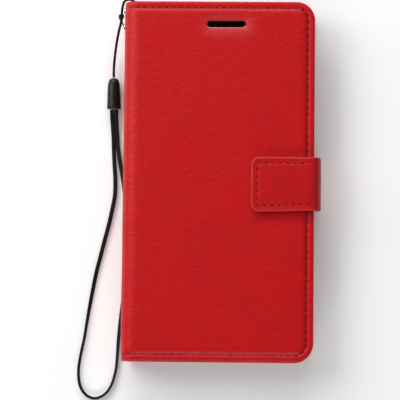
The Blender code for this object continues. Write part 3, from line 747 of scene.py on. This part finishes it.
def roll_edge(bm, outline, steps):
    """Extrudes the sheet's outline through the steps."""
    base, down = bm.verts.layers.float_vector["base"], bm.verts.layers.float["down"]
    edges = [edge for edge in bm.edges if edge.is_boundary]
    for out, drop in steps:
        made = bmesh.ops.extrude_edge_only(bm, edges=edges)["geom"]
        edges = [item for item in made if isinstance(item, bmesh.types.BMEdge)]
        for vert in made:
            if isinstance(vert, bmesh.types.BMVert):
                way = outward_way(vert[base].x, vert[base].y, *outline)
                vert.co = Vector(vert[base]) + way * out
                vert[down] = drop


# %% Cutting a window with a turned edge
ON_THE_RIM = 1e-9


def open_window(bm, centre, half_x, half_y, corner, margin, steps, sides):
    """Cuts a round-cornered opening and turns its edge down through the steps."""
    base, down = bm.verts.layers.float_vector["base"], bm.verts.layers.float["down"]
    low = (centre[0] - half_x - margin, centre[1] - half_y - margin)
    high = (centre[0] + half_x + margin, centre[1] + half_y + margin)
    for axis in (0, 1):
        for place in (low[axis], high[axis]):
            cut_across(bm, axis, place, low, high)

    def in_box(place, near=0.0):
        return all(low[i] - near < place[i] < high[i] + near for i in (0, 1))

    doomed = [face for face in bm.faces if in_box(face.calc_center_median())]
    bmesh.ops.delete(bm, geom=doomed, context="FACES")
    frame_edges = [edge for edge in bm.edges if edge.is_boundary
                   and all(in_box(vert.co, 0.02 * MM) for vert in edge.verts)]
    turn = Matrix.Rotation(math.pi / sides, 4, "Z")
    ring = bmesh.ops.create_circle(bm, cap_ends=False, segments=sides, radius=corner,
                                   matrix=turn)["verts"]
    ways = {}
    for vert in ring:
        way = vert.co.normalized()
        vert.co.x += math.copysign(half_x - corner, vert.co.x) + centre[0]
        vert.co.y += math.copysign(half_y - corner, way.y) + centre[1]
        vert[base] = vert.co
        vert[down] = ON_THE_RIM
        ways[tuple(round(value, 8) for value in vert.co[:2])] = way
    edges = list(dict.fromkeys(edge for vert in ring for edge in vert.link_edges))
    bmesh.ops.triangle_fill(bm, edges=frame_edges + edges, use_beauty=True, use_dissolve=False)
    for inward, drop in steps:
        made = bmesh.ops.extrude_edge_only(bm, edges=edges)["geom"]
        edges = [item for item in made if isinstance(item, bmesh.types.BMEdge)]
        for vert in made:
            if isinstance(vert, bmesh.types.BMVert):
                way = ways[tuple(round(value, 8) for value in vert[base][:2])]
                vert.co = Vector(vert[base]) - way * inward
                vert[down] = drop


# %% Folding round the shoulder
def fold(x, y, rise, face_z, side, bend_x, radius):
    """The place of a flat point once the sheet is folded down at its left."""
    if x >= bend_x:
        return Vector((x, y, face_z + side * rise))
    run, quarter = bend_x - x, radius * math.pi / 2
    if run < quarter:
        angle = run / radius
        return Vector((bend_x - (radius + rise) * math.sin(angle), y,
                       face_z - side * radius + side * (radius + rise) * math.cos(angle)))
    return Vector((bend_x - radius - rise, y, face_z - side * (radius + run - quarter)))


def flat_end(face_z, side, bend_x, radius, end_z):
    """Where the flat piece has to stop to reach a height on the far side of the fold."""
    return bend_x - radius * math.pi / 2 - abs(face_z - side * radius - end_z)


TAB_TAPER = 0.9 * MM
SIDE_TAPER = 0.1


def strap_taper(place):
    """How far the strap's foot side draws in, along the tab and down the side."""
    share = min(max((place.x - TAB_LOW.x) / (TAB_HIGH.x - TAB_LOW.x), 0), 1)
    drawn_in = TAB_TAPER * share + SIDE_TAPER * (TAB_HIGH.z - min(place.z, TAB_HIGH.z))
    return drawn_in * (0.5 - place.y / (2 * STRAP_HALF))


def finish_sheet(name, bm, shape, relief, rim, seam, material, thickness, normal_up, mirror=False):
    """Raises the relief, folds the sheet, and gives it its thickness."""
    base, down = bm.verts.layers.float_vector["base"], bm.verts.layers.float["down"]
    flat = bm.verts.layers.float_vector.new("flat")
    rim_layer, seam_layer = bm.verts.layers.float.new("rim"), bm.verts.layers.float.new("seam")
    for vert in bm.verts:
        x, y = vert[base].x, vert[base].y
        rise = relief(x, y) - vert[down]
        vert[flat] = (vert.co.x, vert.co.y, -vert[down])
        vert[rim_layer] = rim(x, y, vert[down])
        vert[seam_layer] = seam(x, y, vert[down])
        vert.co = fold(vert.co.x, vert.co.y, rise, *shape)
        if mirror:
            vert.co.x = -vert.co.x
            vert.co.y += STRAP_Y + strap_taper(vert.co)
    for edge in bm.edges:
        edge.smooth = not edge.is_boundary
    bmesh.ops.recalc_face_normals(bm, faces=list(bm.faces))
    level = [face for face in bm.faces if abs(face.normal.z) > 0.9]
    largest = sorted(level, key=lambda face: face.calc_area())[-5:]
    if sum(face.normal.z for face in largest) * normal_up < 0:
        bmesh.ops.reverse_faces(bm, faces=list(bm.faces))
    sheet = put_in_scene(name, bm, material)
    wall = sheet.modifiers.new("thickness", "SOLIDIFY")
    wall.thickness = thickness
    wall.offset = -1
    return sheet


# %% [markdown]
# ## The front leather
# One piece of leather covers the front, turns round the upper shoulder and runs down the spine.
# Its border is pressed flat and sewn; inside the seam a thin foam lifts it, so the panel has a
# soft slope all round. Simulated cloth is the usual way to fill a cushion, but it starts from a
# coarse remesh. This foam is half a millimetre thick and its seam is finer still, so the slope is
# shaped from a profile across the border instead. No simulation is run.

# %% Front leather
ROLL_R = 0.7 * MM
SKIN = 0.35 * MM
SEAM_INSET = 3 * MM
SPLIT_Z = 6.3 * MM
PITCH = 3.32 * MM
BEND_X = SPINE_X + SHOULDER_R
FRONT_SHAPE = (FRONT_Z, 1, BEND_X, SHOULDER_R)
SPINE_MEETING_X = flat_end(*FRONT_SHAPE, SPLIT_Z)
HEM = 3 * MM
HEM_GAP = 0.53 * MM
PRESSED_DEPTH = 0.62 * MM
BORDER_RINGS = [step * MM for step in (0.5, 0.6, 0.4, 0.4, 0.25, 0.15, 0.15, 0.2, 0.4, 0.6, 0.8,
                                       1.0, 1.3)]
SLOT = (3.2 * MM, 72.35 * MM)
SLOT_HALF_LENGTH, SLOT_HALF_WIDTH = 9.2 * MM, 1.85 * MM
SLOT_DEPTH = 0.62 * MM
FRONT_PROFILE = [(d * MM, h * MM) for d, h in (
    (0.7, -0.5), (1.2, -0.38), (1.9, -0.36), (2.5, -0.5), (3.0, -0.86), (3.35, -0.62), (3.8, -0.3),
    (4.4, -0.08), (5.2, 0.05), (7.0, 0.13), (11.0, 0.17), (16.0, 0.18))]


def slot_distance(x, y):
    """How far a point lies from the earpiece slot's edge."""
    dx = max(abs(x - SLOT[0]) - (SLOT_HALF_LENGTH - SLOT_HALF_WIDTH), 0)
    return math.hypot(dx, y - SLOT[1]) - SLOT_HALF_WIDTH


def front_relief(x, y):
    """The height of the front leather, from the pressed border up to the padded panel."""
    edge = inside_distance(x, y, EDGE_X, HALF_LENGTH, CORNER_R)
    rise = between(FRONT_PROFILE, edge)
    # The border is pressed less deep where it turns down the shoulder.
    rise *= 1 - 0.75 * min(max((BEND_X + 1 * MM - x) / (5 * MM), 0), 1)
    # Inside the seam the leather is loose enough to wave a little.
    place = Vector((x, y, 0))
    loose = min(max(edge - 4 * MM, 0) / (6 * MM), 1)
    rise += loose * (0.10 * MM * noise.noise(place * 42) + 0.045 * MM * noise.noise(place * 130))
    # The thread puckers it once for each stitch.
    pucker = math.exp(-((edge - 3.6 * MM) / (0.9 * MM)) ** 2)
    run = y if x > EDGE_X - CORNER_R else x
    rise -= 0.07 * MM * pucker * math.cos(math.tau * run / PITCH)
    # It is pressed down round the slot, and lies flat where it meets the back leather.
    rise -= SLOT_DEPTH * math.exp(-(max(slot_distance(x, y), 0) / (2.6 * MM)) ** 2)
    return rise * min(max(x - SPINE_MEETING_X, 0) / (6 * MM), 1)


def edge_wear(edge, down):
    """How rubbed the rolled edge is: most at its top, nothing down its side."""
    return 0.12 * max(1 - (edge - ROLL_R) / (0.7 * MM), 0) * max(1 - down / (1.2 * MM), 0)


def seam_shade(x, edge):
    """How much painted shade darkens the hollow under the thread."""
    return 0.4 * math.exp(-((edge - SEAM_INSET) / (0.3 * MM)) ** 2) * (x > BEND_X - 5 * MM)


def front_rim(x, y, down):
    """Where the front is lighter: its rubbed edge, and painted highlight round the slot and along the
    padding's top at the head and foot.
    """
    edge = inside_distance(x, y, EDGE_X, HALF_LENGTH, CORNER_R)
    slot_gap = slot_distance(x, y)
    # Painted highlight: a thin line on the slot's lip and a soft patch round the slot.
    slot_lip_highlight = 0.35 * max(1 - abs(slot_gap) / (0.5 * MM), 0)
    slot_highlight = 0.6 * math.exp(-(slot_gap / (3.2 * MM)) ** 2)
    # Painted highlight: a line along the padded slope's top at the head and foot, where it faces those
    # lamps.
    padded_highlight = math.exp(-((edge - 4.0 * MM) / (0.45 * MM)) ** 2) * (BEND_X < x < EDGE_X - 7 * MM)
    padded_highlight *= 0.55 + 0.25 * noise.noise(Vector((x, y, 0)) * 500)
    return max(edge_wear(edge, down), slot_lip_highlight, slot_highlight, padded_highlight)


def front_seam(x, y, down):
    edge = inside_distance(x, y, EDGE_X, HALF_LENGTH, CORNER_R)
    # Painted shade: the seam's hollow, and a band just inside it along the free side, where the padded slope
    # faces away from the lamps.
    shaded_side = 0.22 * math.exp(-((edge - 4.2 * MM) / (0.8 * MM)) ** 2) * (x > EDGE_X - 6 * MM)
    return max(seam_shade(x, edge), shaded_side)


SPARE_LENGTH = 14 * MM
OUTLINE_STEP = 1.07 * MM


def case_sheet(right, half, corner, shape, end_z, rings, cell, edge_steps, windows=()):
    """Cuts a cover's sheet: rings, roll, panel grid and windows, all still flat."""
    end = flat_end(*shape, end_z)
    left = end - SPARE_LENGTH
    bm = flat_piece(left, right, half, corner, rings, OUTLINE_STEP)
    remember_flat_places(bm)
    roll_edge(bm, (left, right, half, corner), edge_steps)
    geometry = [*bm.verts, *bm.edges, *bm.faces]
    bmesh.ops.bisect_plane(bm, geom=geometry, dist=TOUCHING, plane_co=(end, 0, 0),
                           plane_no=(-1, 0, 0), clear_outer=True)
    panel = bm.faces.layers.int["panel"]
    for axis, low, high in ((0, end, right), (1, -half, half)):
        for step in range(1, int((high - low) / cell)):
            cut_across(bm, axis, low + step * cell, panel=panel)
    remember_flat_places(bm)
    for window in windows:
        open_window(bm, *window)
    return bm


EYELET_R = 1.6 * MM
ALMOST_ROUND = 0.01 * MM
eyelet_ys = []
for name in ("eyelet_upper", "eyelet_lower"):
    low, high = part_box(name)
    eyelet_ys.append((low.y + high.y) / 2)
EYELET_Z = sum(corner.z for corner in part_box("eyelet_upper")) / 2
eyelet_flat_x = flat_end(*FRONT_SHAPE, EYELET_Z)
slot_window = (SLOT, SLOT_HALF_LENGTH, SLOT_HALF_WIDTH, SLOT_HALF_WIDTH - ALMOST_ROUND, 1.6 * MM,
               ((0.12 * MM, 0.08 * MM), (0.2 * MM, 0.3 * MM), (0.22 * MM, 1.0 * MM)), 40)
eyelet_windows = [((eyelet_flat_x, y), EYELET_R, EYELET_R, EYELET_R - ALMOST_ROUND, 0.25 * MM,
                   ((0.0, 0.3 * MM),), 24) for y in eyelet_ys]
front_thickness = FRONT_Z - PRESSED_DEPTH - FRONT_LINING_Z - HEM_GAP
front_steps = rolled_profile(ROLL_R, front_thickness, HEM)
front_bm = case_sheet(EDGE_X - ROLL_R, HALF_LENGTH - ROLL_R, CORNER_R - ROLL_R, FRONT_SHAPE, SPLIT_Z,
                      BORDER_RINGS, 2.0 * MM, front_steps, [slot_window, *eyelet_windows])
front_leather = finish_sheet("front_leather", front_bm, FRONT_SHAPE, front_relief, front_rim,
                             front_seam, outer_leather, SKIN, 1)
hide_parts("front_skin", "spine_skin")
FRONT_BLEND = dict(start=(-0.0400, 0, FRONT_Z - 6.0 * MM), end=(-0.0385, 0, FRONT_Z - 1.6 * MM))
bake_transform(front_leather, "spine", "front_cover", **FRONT_BLEND)
print("front leather:", len(front_leather.data.polygons), "faces")

# %% [markdown]
# ## The back leather
# The back is the same sheet turned over: flat, because the case lies on it, sewn round the edge,
# and with a window for the phone's camera. It runs round the lower shoulder and meets the front
# leather on the spine, below the eyelets.

# %% Back leather
BACK_SHAPE = (0.0, -1, BEND_X, SHOULDER_R)
BACK_PROFILE = [(d * MM, h * MM) for d, h in (
    (0.9, -0.02), (2.3, 0.0), (3.0, -0.25), (3.7, 0.0), (6.0, 0.0))]
WINDOW_LOW, WINDOW_HIGH = (8 * MM, 42 * MM), (38 * MM, 76 * MM)
window_centre = [(a + b) / 2 for a, b in zip(WINDOW_LOW, WINDOW_HIGH)]
window_half = [(b - a) / 2 for a, b in zip(WINDOW_LOW, WINDOW_HIGH)]


def back_relief(x, y):
    return between(BACK_PROFILE, inside_distance(x, y, EDGE_X, HALF_LENGTH, CORNER_R))


def back_rim(x, y, down):
    return edge_wear(inside_distance(x, y, EDGE_X, HALF_LENGTH, CORNER_R), down)


def back_seam(x, y, down):
    return seam_shade(x, inside_distance(x, y, EDGE_X, HALF_LENGTH, CORNER_R))


turned_in = 0.3 * MM
camera_window = (window_centre, window_half[0] - turned_in, window_half[1] - turned_in, 5.7 * MM,
                 2 * MM, ((0.12 * MM, 0.1 * MM), (0.2 * MM, 0.4 * MM), (0.2 * MM, 2.0 * MM)), 40)
back_steps = rolled_profile(ROLL_R, BACK_LINING_Z - HEM_GAP, HEM)
back_bm = case_sheet(EDGE_X - ROLL_R, HALF_LENGTH - ROLL_R, CORNER_R - ROLL_R, BACK_SHAPE, SPLIT_Z,
                     BORDER_RINGS, 4.0 * MM, back_steps, [camera_window])
back_leather = finish_sheet("back_leather", back_bm, BACK_SHAPE, back_relief, back_rim, back_seam,
                            outer_leather, SKIN, -1)
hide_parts("back_skin")
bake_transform(back_leather, "back_cover", "spine", start=(-0.0385, 0, 0.0016), end=(-0.0400, 0, 0.0060))
print("back leather:", len(back_leather.data.polygons), "faces")

# %% [markdown]
# ## The linings
# Inside, a second leather with a finer grain faces both covers and the spine. It follows the same
# fold on a smaller radius, and its slot and window are cut a little wider than the outer ones.

# %% Linings
LINING_R = 3 * MM
LINING_BEND_X = LINING_SPINE_X + LINING_R
lining_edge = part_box("front_lining")[1]
lining_corner = CORNER_R - 1.4 * MM
LINING_RINGS = [step * MM for step in (0.5, 1.0, 1.5)]


def lining_relief(x, y):
    return 0.02 * MM * noise.noise(Vector((x, y, 0)) * 60)


def lining_mask(x, y, down):
    edge = inside_distance(x, y, lining_edge.x, lining_edge.y, lining_corner)
    return 0.6 * max(1 - edge / (0.5 * MM), 0)


def no_mask(x, y, down):
    return 0.0


wider = 0.2 * MM
slot_hole = (SLOT, SLOT_HALF_LENGTH + wider, SLOT_HALF_WIDTH + wider,
             SLOT_HALF_WIDTH + 0.19 * MM, 1.5 * MM, (), 40)
camera_hole = (window_centre, window_half[0], window_half[1], 6 * MM, 2 * MM, (), 40)
for name, face_z, side, hole, nodes, bodies, span in (
        ("front_lining_sheet", FRONT_LINING_Z, 1, slot_hole, ("front_lining", "spine_lining"),
         ("spine", "front_cover"), (FRONT_LINING_Z - 2.8 * MM, FRONT_LINING_Z - 0.2 * MM)),
        ("back_lining_sheet", BACK_LINING_Z, -1, camera_hole, ("back_lining",),
         ("back_cover", "spine"), (BACK_LINING_Z + 0.2 * MM, BACK_LINING_Z + 2.8 * MM))):
    shape = (face_z, side, LINING_BEND_X, LINING_R)
    lining_bm = case_sheet(lining_edge.x, lining_edge.y, lining_corner, shape, SPLIT_Z, LINING_RINGS,
                           6.0 * MM, (), [hole])
    lining = finish_sheet(name, lining_bm, shape, lining_relief, lining_mask, no_mask, lining_leather,
                          SKIN, -side)
    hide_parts(*nodes)
    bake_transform(lining, *bodies, start=(-0.0390, 0, span[0]), end=(-0.0390, 0, span[1]))
    print(name, len(lining.data.polygons), "faces")

# %% [markdown]
# ## The closing strap
# The strap is a thick band of two leathers. It leaves the back cover's edge, stands up the free
# side and folds over the front, where a magnet in its tab holds it. It crosses two hinges, so it
# is made in two lengths that meet halfway up the side: each bends at one hinge only. Both are the
# same folded sheet as the covers, mirrored to the free side.

# %% Upper strap with the tab
STRAP_THICK = TAB_HIGH.z - TAB_UNDER_Z
STRAP_ROLL_R = 0.5 * MM
STRAP_CORNER_R = 3.8 * MM
STRAP_BEND_R = 4.4 * MM
STRAP_SPLIT_Z = MIDDLE_Z
strap_bend_x = -(SIDE_HIGH.x - STRAP_BEND_R)
TAB_PROFILE = [(d * MM, h * MM) for d, h in (
    (0.5, -0.02), (0.8, 0.06), (1.2, 0.02), (1.7, -0.08), (2.5, -0.06), (3.0, -0.22), (3.5, -0.05),
    (4.5, 0.04), (7.0, 0.1))]
SIDE_PROFILE = TAB_PROFILE[:4] + [(2.5 * MM, 0.0)]
STRAP_RINGS = [step * MM for step in (0.2, 0.25, 0.35, 0.4, 0.5, 0.4, 0.2, 0.2, 0.2, 0.3)]
STRAP_LINING_INSET = 0.6 * MM
TAB_SHAPE = (TAB_HIGH.z, 1, strap_bend_x, STRAP_BEND_R)
tab_outline = (-TAB_LOW.x, STRAP_HALF, STRAP_CORNER_R)


def side_distance(y):
    return STRAP_HALF - abs(y)


def side_relief(x, y):
    return between(SIDE_PROFILE, side_distance(y))


def tab_relief(x, y):
    edge = inside_distance(x, y, *tab_outline)
    waves = 0.03 * MM * noise.noise(Vector((x, y, 7)) * 120)
    rise = between(TAB_PROFILE, edge) + waves * min(max(edge - 3 * MM, 0) / (3 * MM), 1)
    past_bend = min(max(strap_bend_x - x, 0) / (7 * MM), 1)
    return rise + (side_relief(x, y) - rise) * past_bend


def strap_wear(edge, down):
    """How rubbed the strap is just inside its rolled edge."""
    return 0.75 * max(1 - abs(edge - 0.65 * MM) / (0.55 * MM), 0) * max(1 - down / (0.5 * MM), 0)


def tab_rim(x, y, down):
    return strap_wear(inside_distance(x, y, *tab_outline), down)


def tab_seam(x, y, down):
    edge = inside_distance(x, y, *tab_outline)
    # Painted shade: the seam's hollow on the tab, and a band over the strap's bend down the free side, which
    # faces away from the lamps.
    hollow = 0.25 * math.exp(-((edge - SEAM_INSET) / (0.25 * MM)) ** 2) * (x > strap_bend_x)
    bend = 0.35 * math.exp(-((x - strap_bend_x + 4.5 * MM) / (3.2 * MM)) ** 2)
    return max(hollow, bend)


tab_steps = rolled_profile(STRAP_ROLL_R, STRAP_THICK - 0.3 * MM, 0.6 * MM)
tab_bm = case_sheet(-TAB_LOW.x - STRAP_ROLL_R, STRAP_HALF - STRAP_ROLL_R,
                    STRAP_CORNER_R - STRAP_ROLL_R, TAB_SHAPE, STRAP_SPLIT_Z, STRAP_RINGS, 1.6 * MM,
                    tab_steps)
strap_upper = finish_sheet("strap_tab_leather", tab_bm, TAB_SHAPE, tab_relief, tab_rim, tab_seam,
                           strap_leather, SKIN, 1, mirror=True)
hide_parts("strap_tab_shell", "strap_side_outer")
UPPER_BLEND = dict(start=(0.0450, STRAP_Y, TAB_UNDER_Z - 1.0 * MM),
                   end=(0.0434, STRAP_Y, TAB_UNDER_Z + 0.8 * MM))
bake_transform(strap_upper, "strap_side", "strap_tab", **UPPER_BLEND)
INNER_BEND_R = STRAP_BEND_R - STRAP_THICK
UNDER_SHAPE = (TAB_UNDER_Z, 1, strap_bend_x, INNER_BEND_R)
under_bm = case_sheet(-TAB_LOW.x - STRAP_LINING_INSET, STRAP_HALF - STRAP_LINING_INSET,
                      STRAP_CORNER_R - STRAP_LINING_INSET, UNDER_SHAPE, STRAP_SPLIT_Z, LINING_RINGS,
                      3 * MM, ())
strap_under = finish_sheet("strap_tab_underside", under_bm, UNDER_SHAPE, lining_relief, no_mask,
                           no_mask, lining_leather, SKIN, -1, mirror=True)
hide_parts("strap_tab_lining", "strap_side_lining")
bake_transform(strap_under, "strap_side", "strap_tab", **UPPER_BLEND)
print("tab leather:", len(strap_upper.data.polygons), "faces")

# %% Lower strap
ROOT_Z = 0.7 * MM
ROOT_R = 2.7 * MM
ROOT_THICK = 1.1 * MM
ROOT_END_X = -43.6 * MM
ROOT_CORNER_R = 2.8 * MM
INNER_ROOT_R = 0.2 * MM
root_bend_x = -(SIDE_HIGH.x - ROOT_R)
ROOT_SHAPE = (ROOT_Z, -1, root_bend_x, ROOT_R)
INNER_SHAPE = (ROOT_Z + ROOT_R - INNER_ROOT_R, -1, -(STRAP_INNER_X + INNER_ROOT_R), INNER_ROOT_R)


def side_rim(x, y, down):
    return strap_wear(side_distance(y), down)


def thin_root(bm):
    """Thins the band towards its root, where it is sewn in between the layers of the back."""
    down = bm.verts.layers.float["down"]
    quarter = ROOT_R * math.pi / 2
    for vert in bm.verts:
        share = min(max((root_bend_x - vert.co.x) / quarter, 0), 1)
        limit = ROOT_THICK + (STRAP_THICK - ROOT_THICK) * share * share * (3 - 2 * share)
        vert[down] = min(vert[down], limit)


root_bm = case_sheet(ROOT_END_X, STRAP_HALF - STRAP_ROLL_R, ROOT_CORNER_R, ROOT_SHAPE,
                     STRAP_SPLIT_Z, STRAP_RINGS[:6], 1.6 * MM, tab_steps)
thin_root(root_bm)
strap_lower = finish_sheet("strap_side_leather", root_bm, ROOT_SHAPE, side_relief, side_rim, no_mask,
                           strap_leather, SKIN, -1, mirror=True)
LOWER_BLEND = dict(start=(0.0436, STRAP_Y, 0.0016), end=(0.0452, STRAP_Y, 0.0052))
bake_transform(strap_lower, "back_cover", "strap_side", **LOWER_BLEND)
inner_bm = case_sheet(ROOT_END_X, STRAP_HALF - STRAP_LINING_INSET, ROOT_CORNER_R, INNER_SHAPE,
                      STRAP_SPLIT_Z, LINING_RINGS[:2], 3 * MM, ())
strap_inner = finish_sheet("strap_side_underside", inner_bm, INNER_SHAPE, lining_relief, no_mask,
                           no_mask, lining_leather, SKIN, 1, mirror=True)
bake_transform(strap_inner, "back_cover", "strap_side", **LOWER_BLEND)
print("lower strap:", len(strap_lower.data.polygons), "faces")

# %% [markdown]
# ## Stitches
# Each stitch is a short length of thread lying on the leather, pulled down into a needle hole at
# both ends. A single long tube would look like piping, so every stitch is its own small grain of
# thread, leaning a little, with a dark hole between it and the next: a small oval of painted shade.


# %% Rows of stitches
def seam_line(left, right, half, corner):
    """Points along the head, round the free corners and back along the foot."""
    points = [Vector((left, half, 0))]
    for start, y in ((90, half - corner), (0, corner - half)):
        for step in range(13):
            angle = math.radians(start - 90 * step / 12)
            points.append(Vector((right - corner + corner * math.cos(angle),
                                  y + corner * math.sin(angle), 0)))
    points.append(Vector((left, -half, 0)))
    return points


def along_line(points, spacing, start):
    """Places and directions at even steps along a line."""
    places, reach, goal = [], 0.0, start
    for a, b in zip(points, points[1:]):
        length = (b - a).length
        while goal <= reach + length:
            places.append((a.lerp(b, (goal - reach) / length), (b - a).normalized()))
            goal += spacing
        reach += length
    return places


THREAD_LIFT = 0.02 * MM
THREAD_LEAN = 5
HOLE_HALF_SIZE = (0.56 * MM, 0.36 * MM, 0.16 * MM)


def stitch_row(name, places, shape, lift, blend, nodes, length=2.05 * MM, pitch=PITCH,
               width=0.5 * MM, seed=1, mirror=False):
    """Stitches laid on a folded sheet: a grain of thread each, and after it a dark oval of painted shade for
    the hole.
    """
    chance = random.Random(seed)
    threads, holes = bmesh.new(), bmesh.new()
    for place, way in places:
        spots = []
        for x, y in ((place.x, place.y),
                     (place.x + way.x * pitch / 2, place.y + way.y * pitch / 2)):
            at = fold(x, y, lift(x, y) + THREAD_LIFT, *shape)
            if mirror:
                at.x = -at.x
                at.y += STRAP_Y + strap_taper(at)
            spots.append(at)
        forward = (spots[1] - spots[0]).normalized()
        across = forward.cross(Vector((0, 0, shape[1]))).normalized()
        frame_turn = Matrix((forward, across, forward.cross(across))).transposed().to_4x4()
        lean = Matrix.Rotation(math.radians(THREAD_LEAN + chance.uniform(-3, 3)), 4, "Z")
        grain = Matrix.Diagonal((length / 2, width / 2, width * 0.4, 1))
        grain = grain @ Matrix.Rotation(math.pi / 2, 4, "Y")
        bmesh.ops.create_uvsphere(threads, u_segments=8, v_segments=6, radius=1,
                                  matrix=Matrix.Translation(spots[0]) @ frame_turn @ lean @ grain)
        # Painted shade: a small dark oval sunk in the leather stands for the shadow inside the needle hole.
        pit = Matrix.Diagonal((*HOLE_HALF_SIZE, 1))
        bmesh.ops.create_uvsphere(holes, u_segments=8, v_segments=4, radius=1,
                                  matrix=Matrix.Translation(spots[1]) @ frame_turn @ pit)
    thread_piece = put_in_scene(name, threads, red_thread)
    hole_piece = put_in_scene(name + "_holes", holes, needle_hole)
    for piece in (thread_piece, hole_piece):
        if isinstance(blend, str):
            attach(piece, blend)
        else:
            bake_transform(piece, *blend[0], **blend[1])
    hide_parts(*nodes)
    print(name, len(places), "stitches")


cover_outline = (EDGE_X - SEAM_INSET, HALF_LENGTH - SEAM_INSET, CORNER_R - SEAM_INSET)
cover_seam = seam_line(-42.9 * MM, *cover_outline)
stitch_row("front_stitches", along_line(cover_seam, PITCH, 3.3 * MM), FRONT_SHAPE, front_relief,
           (("spine", "front_cover"), FRONT_BLEND), ["front_stitching"], seed=3)
flat_seam = seam_line(BEND_X - 0.5 * MM, *cover_outline)
stitch_row("back_stitches", along_line(flat_seam, PITCH, 1.2 * MM), BACK_SHAPE, lambda x, y: -0.25 * MM,
           "back_cover", ["back_stitching"], seed=4)
tab_right = -(TAB_LOW.x + SEAM_INSET)
tab_seam_line = seam_line(strap_bend_x + 1.2 * MM, tab_right, STRAP_HALF - SEAM_INSET, 0.9 * MM)
TAB_PITCH = 3.3 * MM
stitch_row("tab_stitches", along_line(tab_seam_line, TAB_PITCH, 1.0 * MM), TAB_SHAPE, tab_relief,
           "strap_tab", ["strap_stitching"], 2.0 * MM, TAB_PITCH, 0.46 * MM, 5, mirror=True)

# %% [markdown]
# ## The phone tray and the pockets
# The soft tray that holds the phone comes from the solid model with its edges softened: its
# triangles are merged first, because a bevel needs joined faces. Its large faces are shaded flat,
# its small ones smooth. The pockets keep their solids and get a thin hem along each mouth.


# %% Tray
FLAT_FACE_AREA = 30 * MM * MM


def softened_copy(name, source, material, width):
    """A copy of a solid with rounded edges, for parts whose shape is already right."""
    bm = bmesh.new()
    bm.from_mesh(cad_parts[source].data)
    bmesh.ops.remove_doubles(bm, verts=list(bm.verts), dist=0.005 * MM)
    bmesh.ops.dissolve_limit(bm, angle_limit=math.radians(1), verts=list(bm.verts),
                             edges=list(bm.edges))
    sharp = [edge for edge in bm.edges
             if len(edge.link_faces) == 2 and edge.calc_face_angle() > math.radians(40)]
    bmesh.ops.bevel(bm, geom=sharp, offset=width, offset_type="OFFSET", segments=2, profile=0.5,
                    affect="EDGES", material=-1, clamp_overlap=True)
    piece = put_in_scene(name, bm, material)
    for face in piece.data.polygons:
        face.use_smooth = face.area < FLAT_FACE_AREA
    piece.data.set_sharp_from_angle(angle=math.radians(35))
    return piece


tray = softened_copy("soft_tray", "phone_tray", black_rubber, 0.2 * MM)
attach(tray, "back_cover")
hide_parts("phone_tray")
print("tray:", len(tray.data.polygons), "faces")


# %% Pocket hems
HEM_WIDTH, HEM_HEIGHT = 2.2 * MM, 0.22 * MM
NOTCH_R = 8.5 * MM


def pocket_hem(name, node_name, notch_r):
    """A strip along a pocket's mouth, with the thumb notch left open."""
    low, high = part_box(node_name)
    bm = bmesh.new()
    middle_y = (low.y + high.y) / 2
    spans = [(low.y + 1 * MM, high.y - 1 * MM)]
    if notch_r:
        spans = [(low.y + 1 * MM, middle_y - notch_r), (middle_y + notch_r, high.y - 1 * MM)]
    for start, stop in spans:
        size = Vector((HEM_WIDTH, stop - start, HEM_HEIGHT))
        place = Vector((low.x + 1.3 * MM, (start + stop) / 2, low.z))
        bmesh.ops.create_cube(bm, size=1, matrix=Matrix.LocRotScale(place, None, size))
    bmesh.ops.bevel(bm, geom=list(bm.edges), offset=0.09 * MM, offset_type="OFFSET", segments=2,
                    profile=0.5, affect="EDGES", material=-1)
    piece = put_in_scene(name, bm, pocket_leather)
    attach(piece, "front_cover")
    print(node_name, "mouth at", round(low.x / MM, 1), "mm")


for name, notch in (("card_pocket_front", NOTCH_R), ("card_pocket_rear", NOTCH_R), ("cash_pocket", 0)):
    pocket_hem(name + "_hem", name, notch)

# %% Pocket stitches
front_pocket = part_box("card_pocket_front")
seam_low, seam_high = front_pocket[0].y + 1.5 * MM, front_pocket[1].y - 1.5 * MM
pocket_seam = [Vector((x * MM, y, 0)) for x, y in (
    (-10, seam_low), (39, seam_low), (39, seam_high), (-10, seam_high))]
NEVER_BENDS_X = -1.0
pocket_shape = (front_pocket[0].z, -1, NEVER_BENDS_X, 1.0 * MM)
stitch_row("pocket_stitches", along_line(pocket_seam, PITCH, 1.6 * MM), pocket_shape,
           lambda x, y: 0.0, "front_cover", ["pocket_stitching"], seed=6)

# %% [markdown]
# ## Parts that keep their solids
# Boards, foam, magnet and metal parts are right as they are. Each takes the finish of what it is
# made from, also where the leather hides it.

# %% Finishes for the solids
SOLID_FINISHES = {
    "front_padding": white_foam, "front_board": grey_board, "back_board": grey_board,
    "spine_stiffener": grey_board, "keeper_plate": magnet_steel, "strap_magnet": magnet_steel,
    "strap_root": pocket_leather, "cash_pocket": pocket_leather, "card_pocket_front": pocket_leather,
    "card_pocket_rear": pocket_leather, "eyelet_upper": nickel, "eyelet_lower": nickel,
    "lanyard_ring": nickel,
}
for name, material in SOLID_FINISHES.items():
    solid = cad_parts[name]
    solid.data.materials.clear()
    solid.data.materials.append(material)
left_plain = [name for name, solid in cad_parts.items()
              if not solid.hide_render and name not in SOLID_FINISHES]
print("solids shown:", len(SOLID_FINISHES), "without a finish:", left_plain)

# %% Updating the scene
bpy.context.view_layer.update()
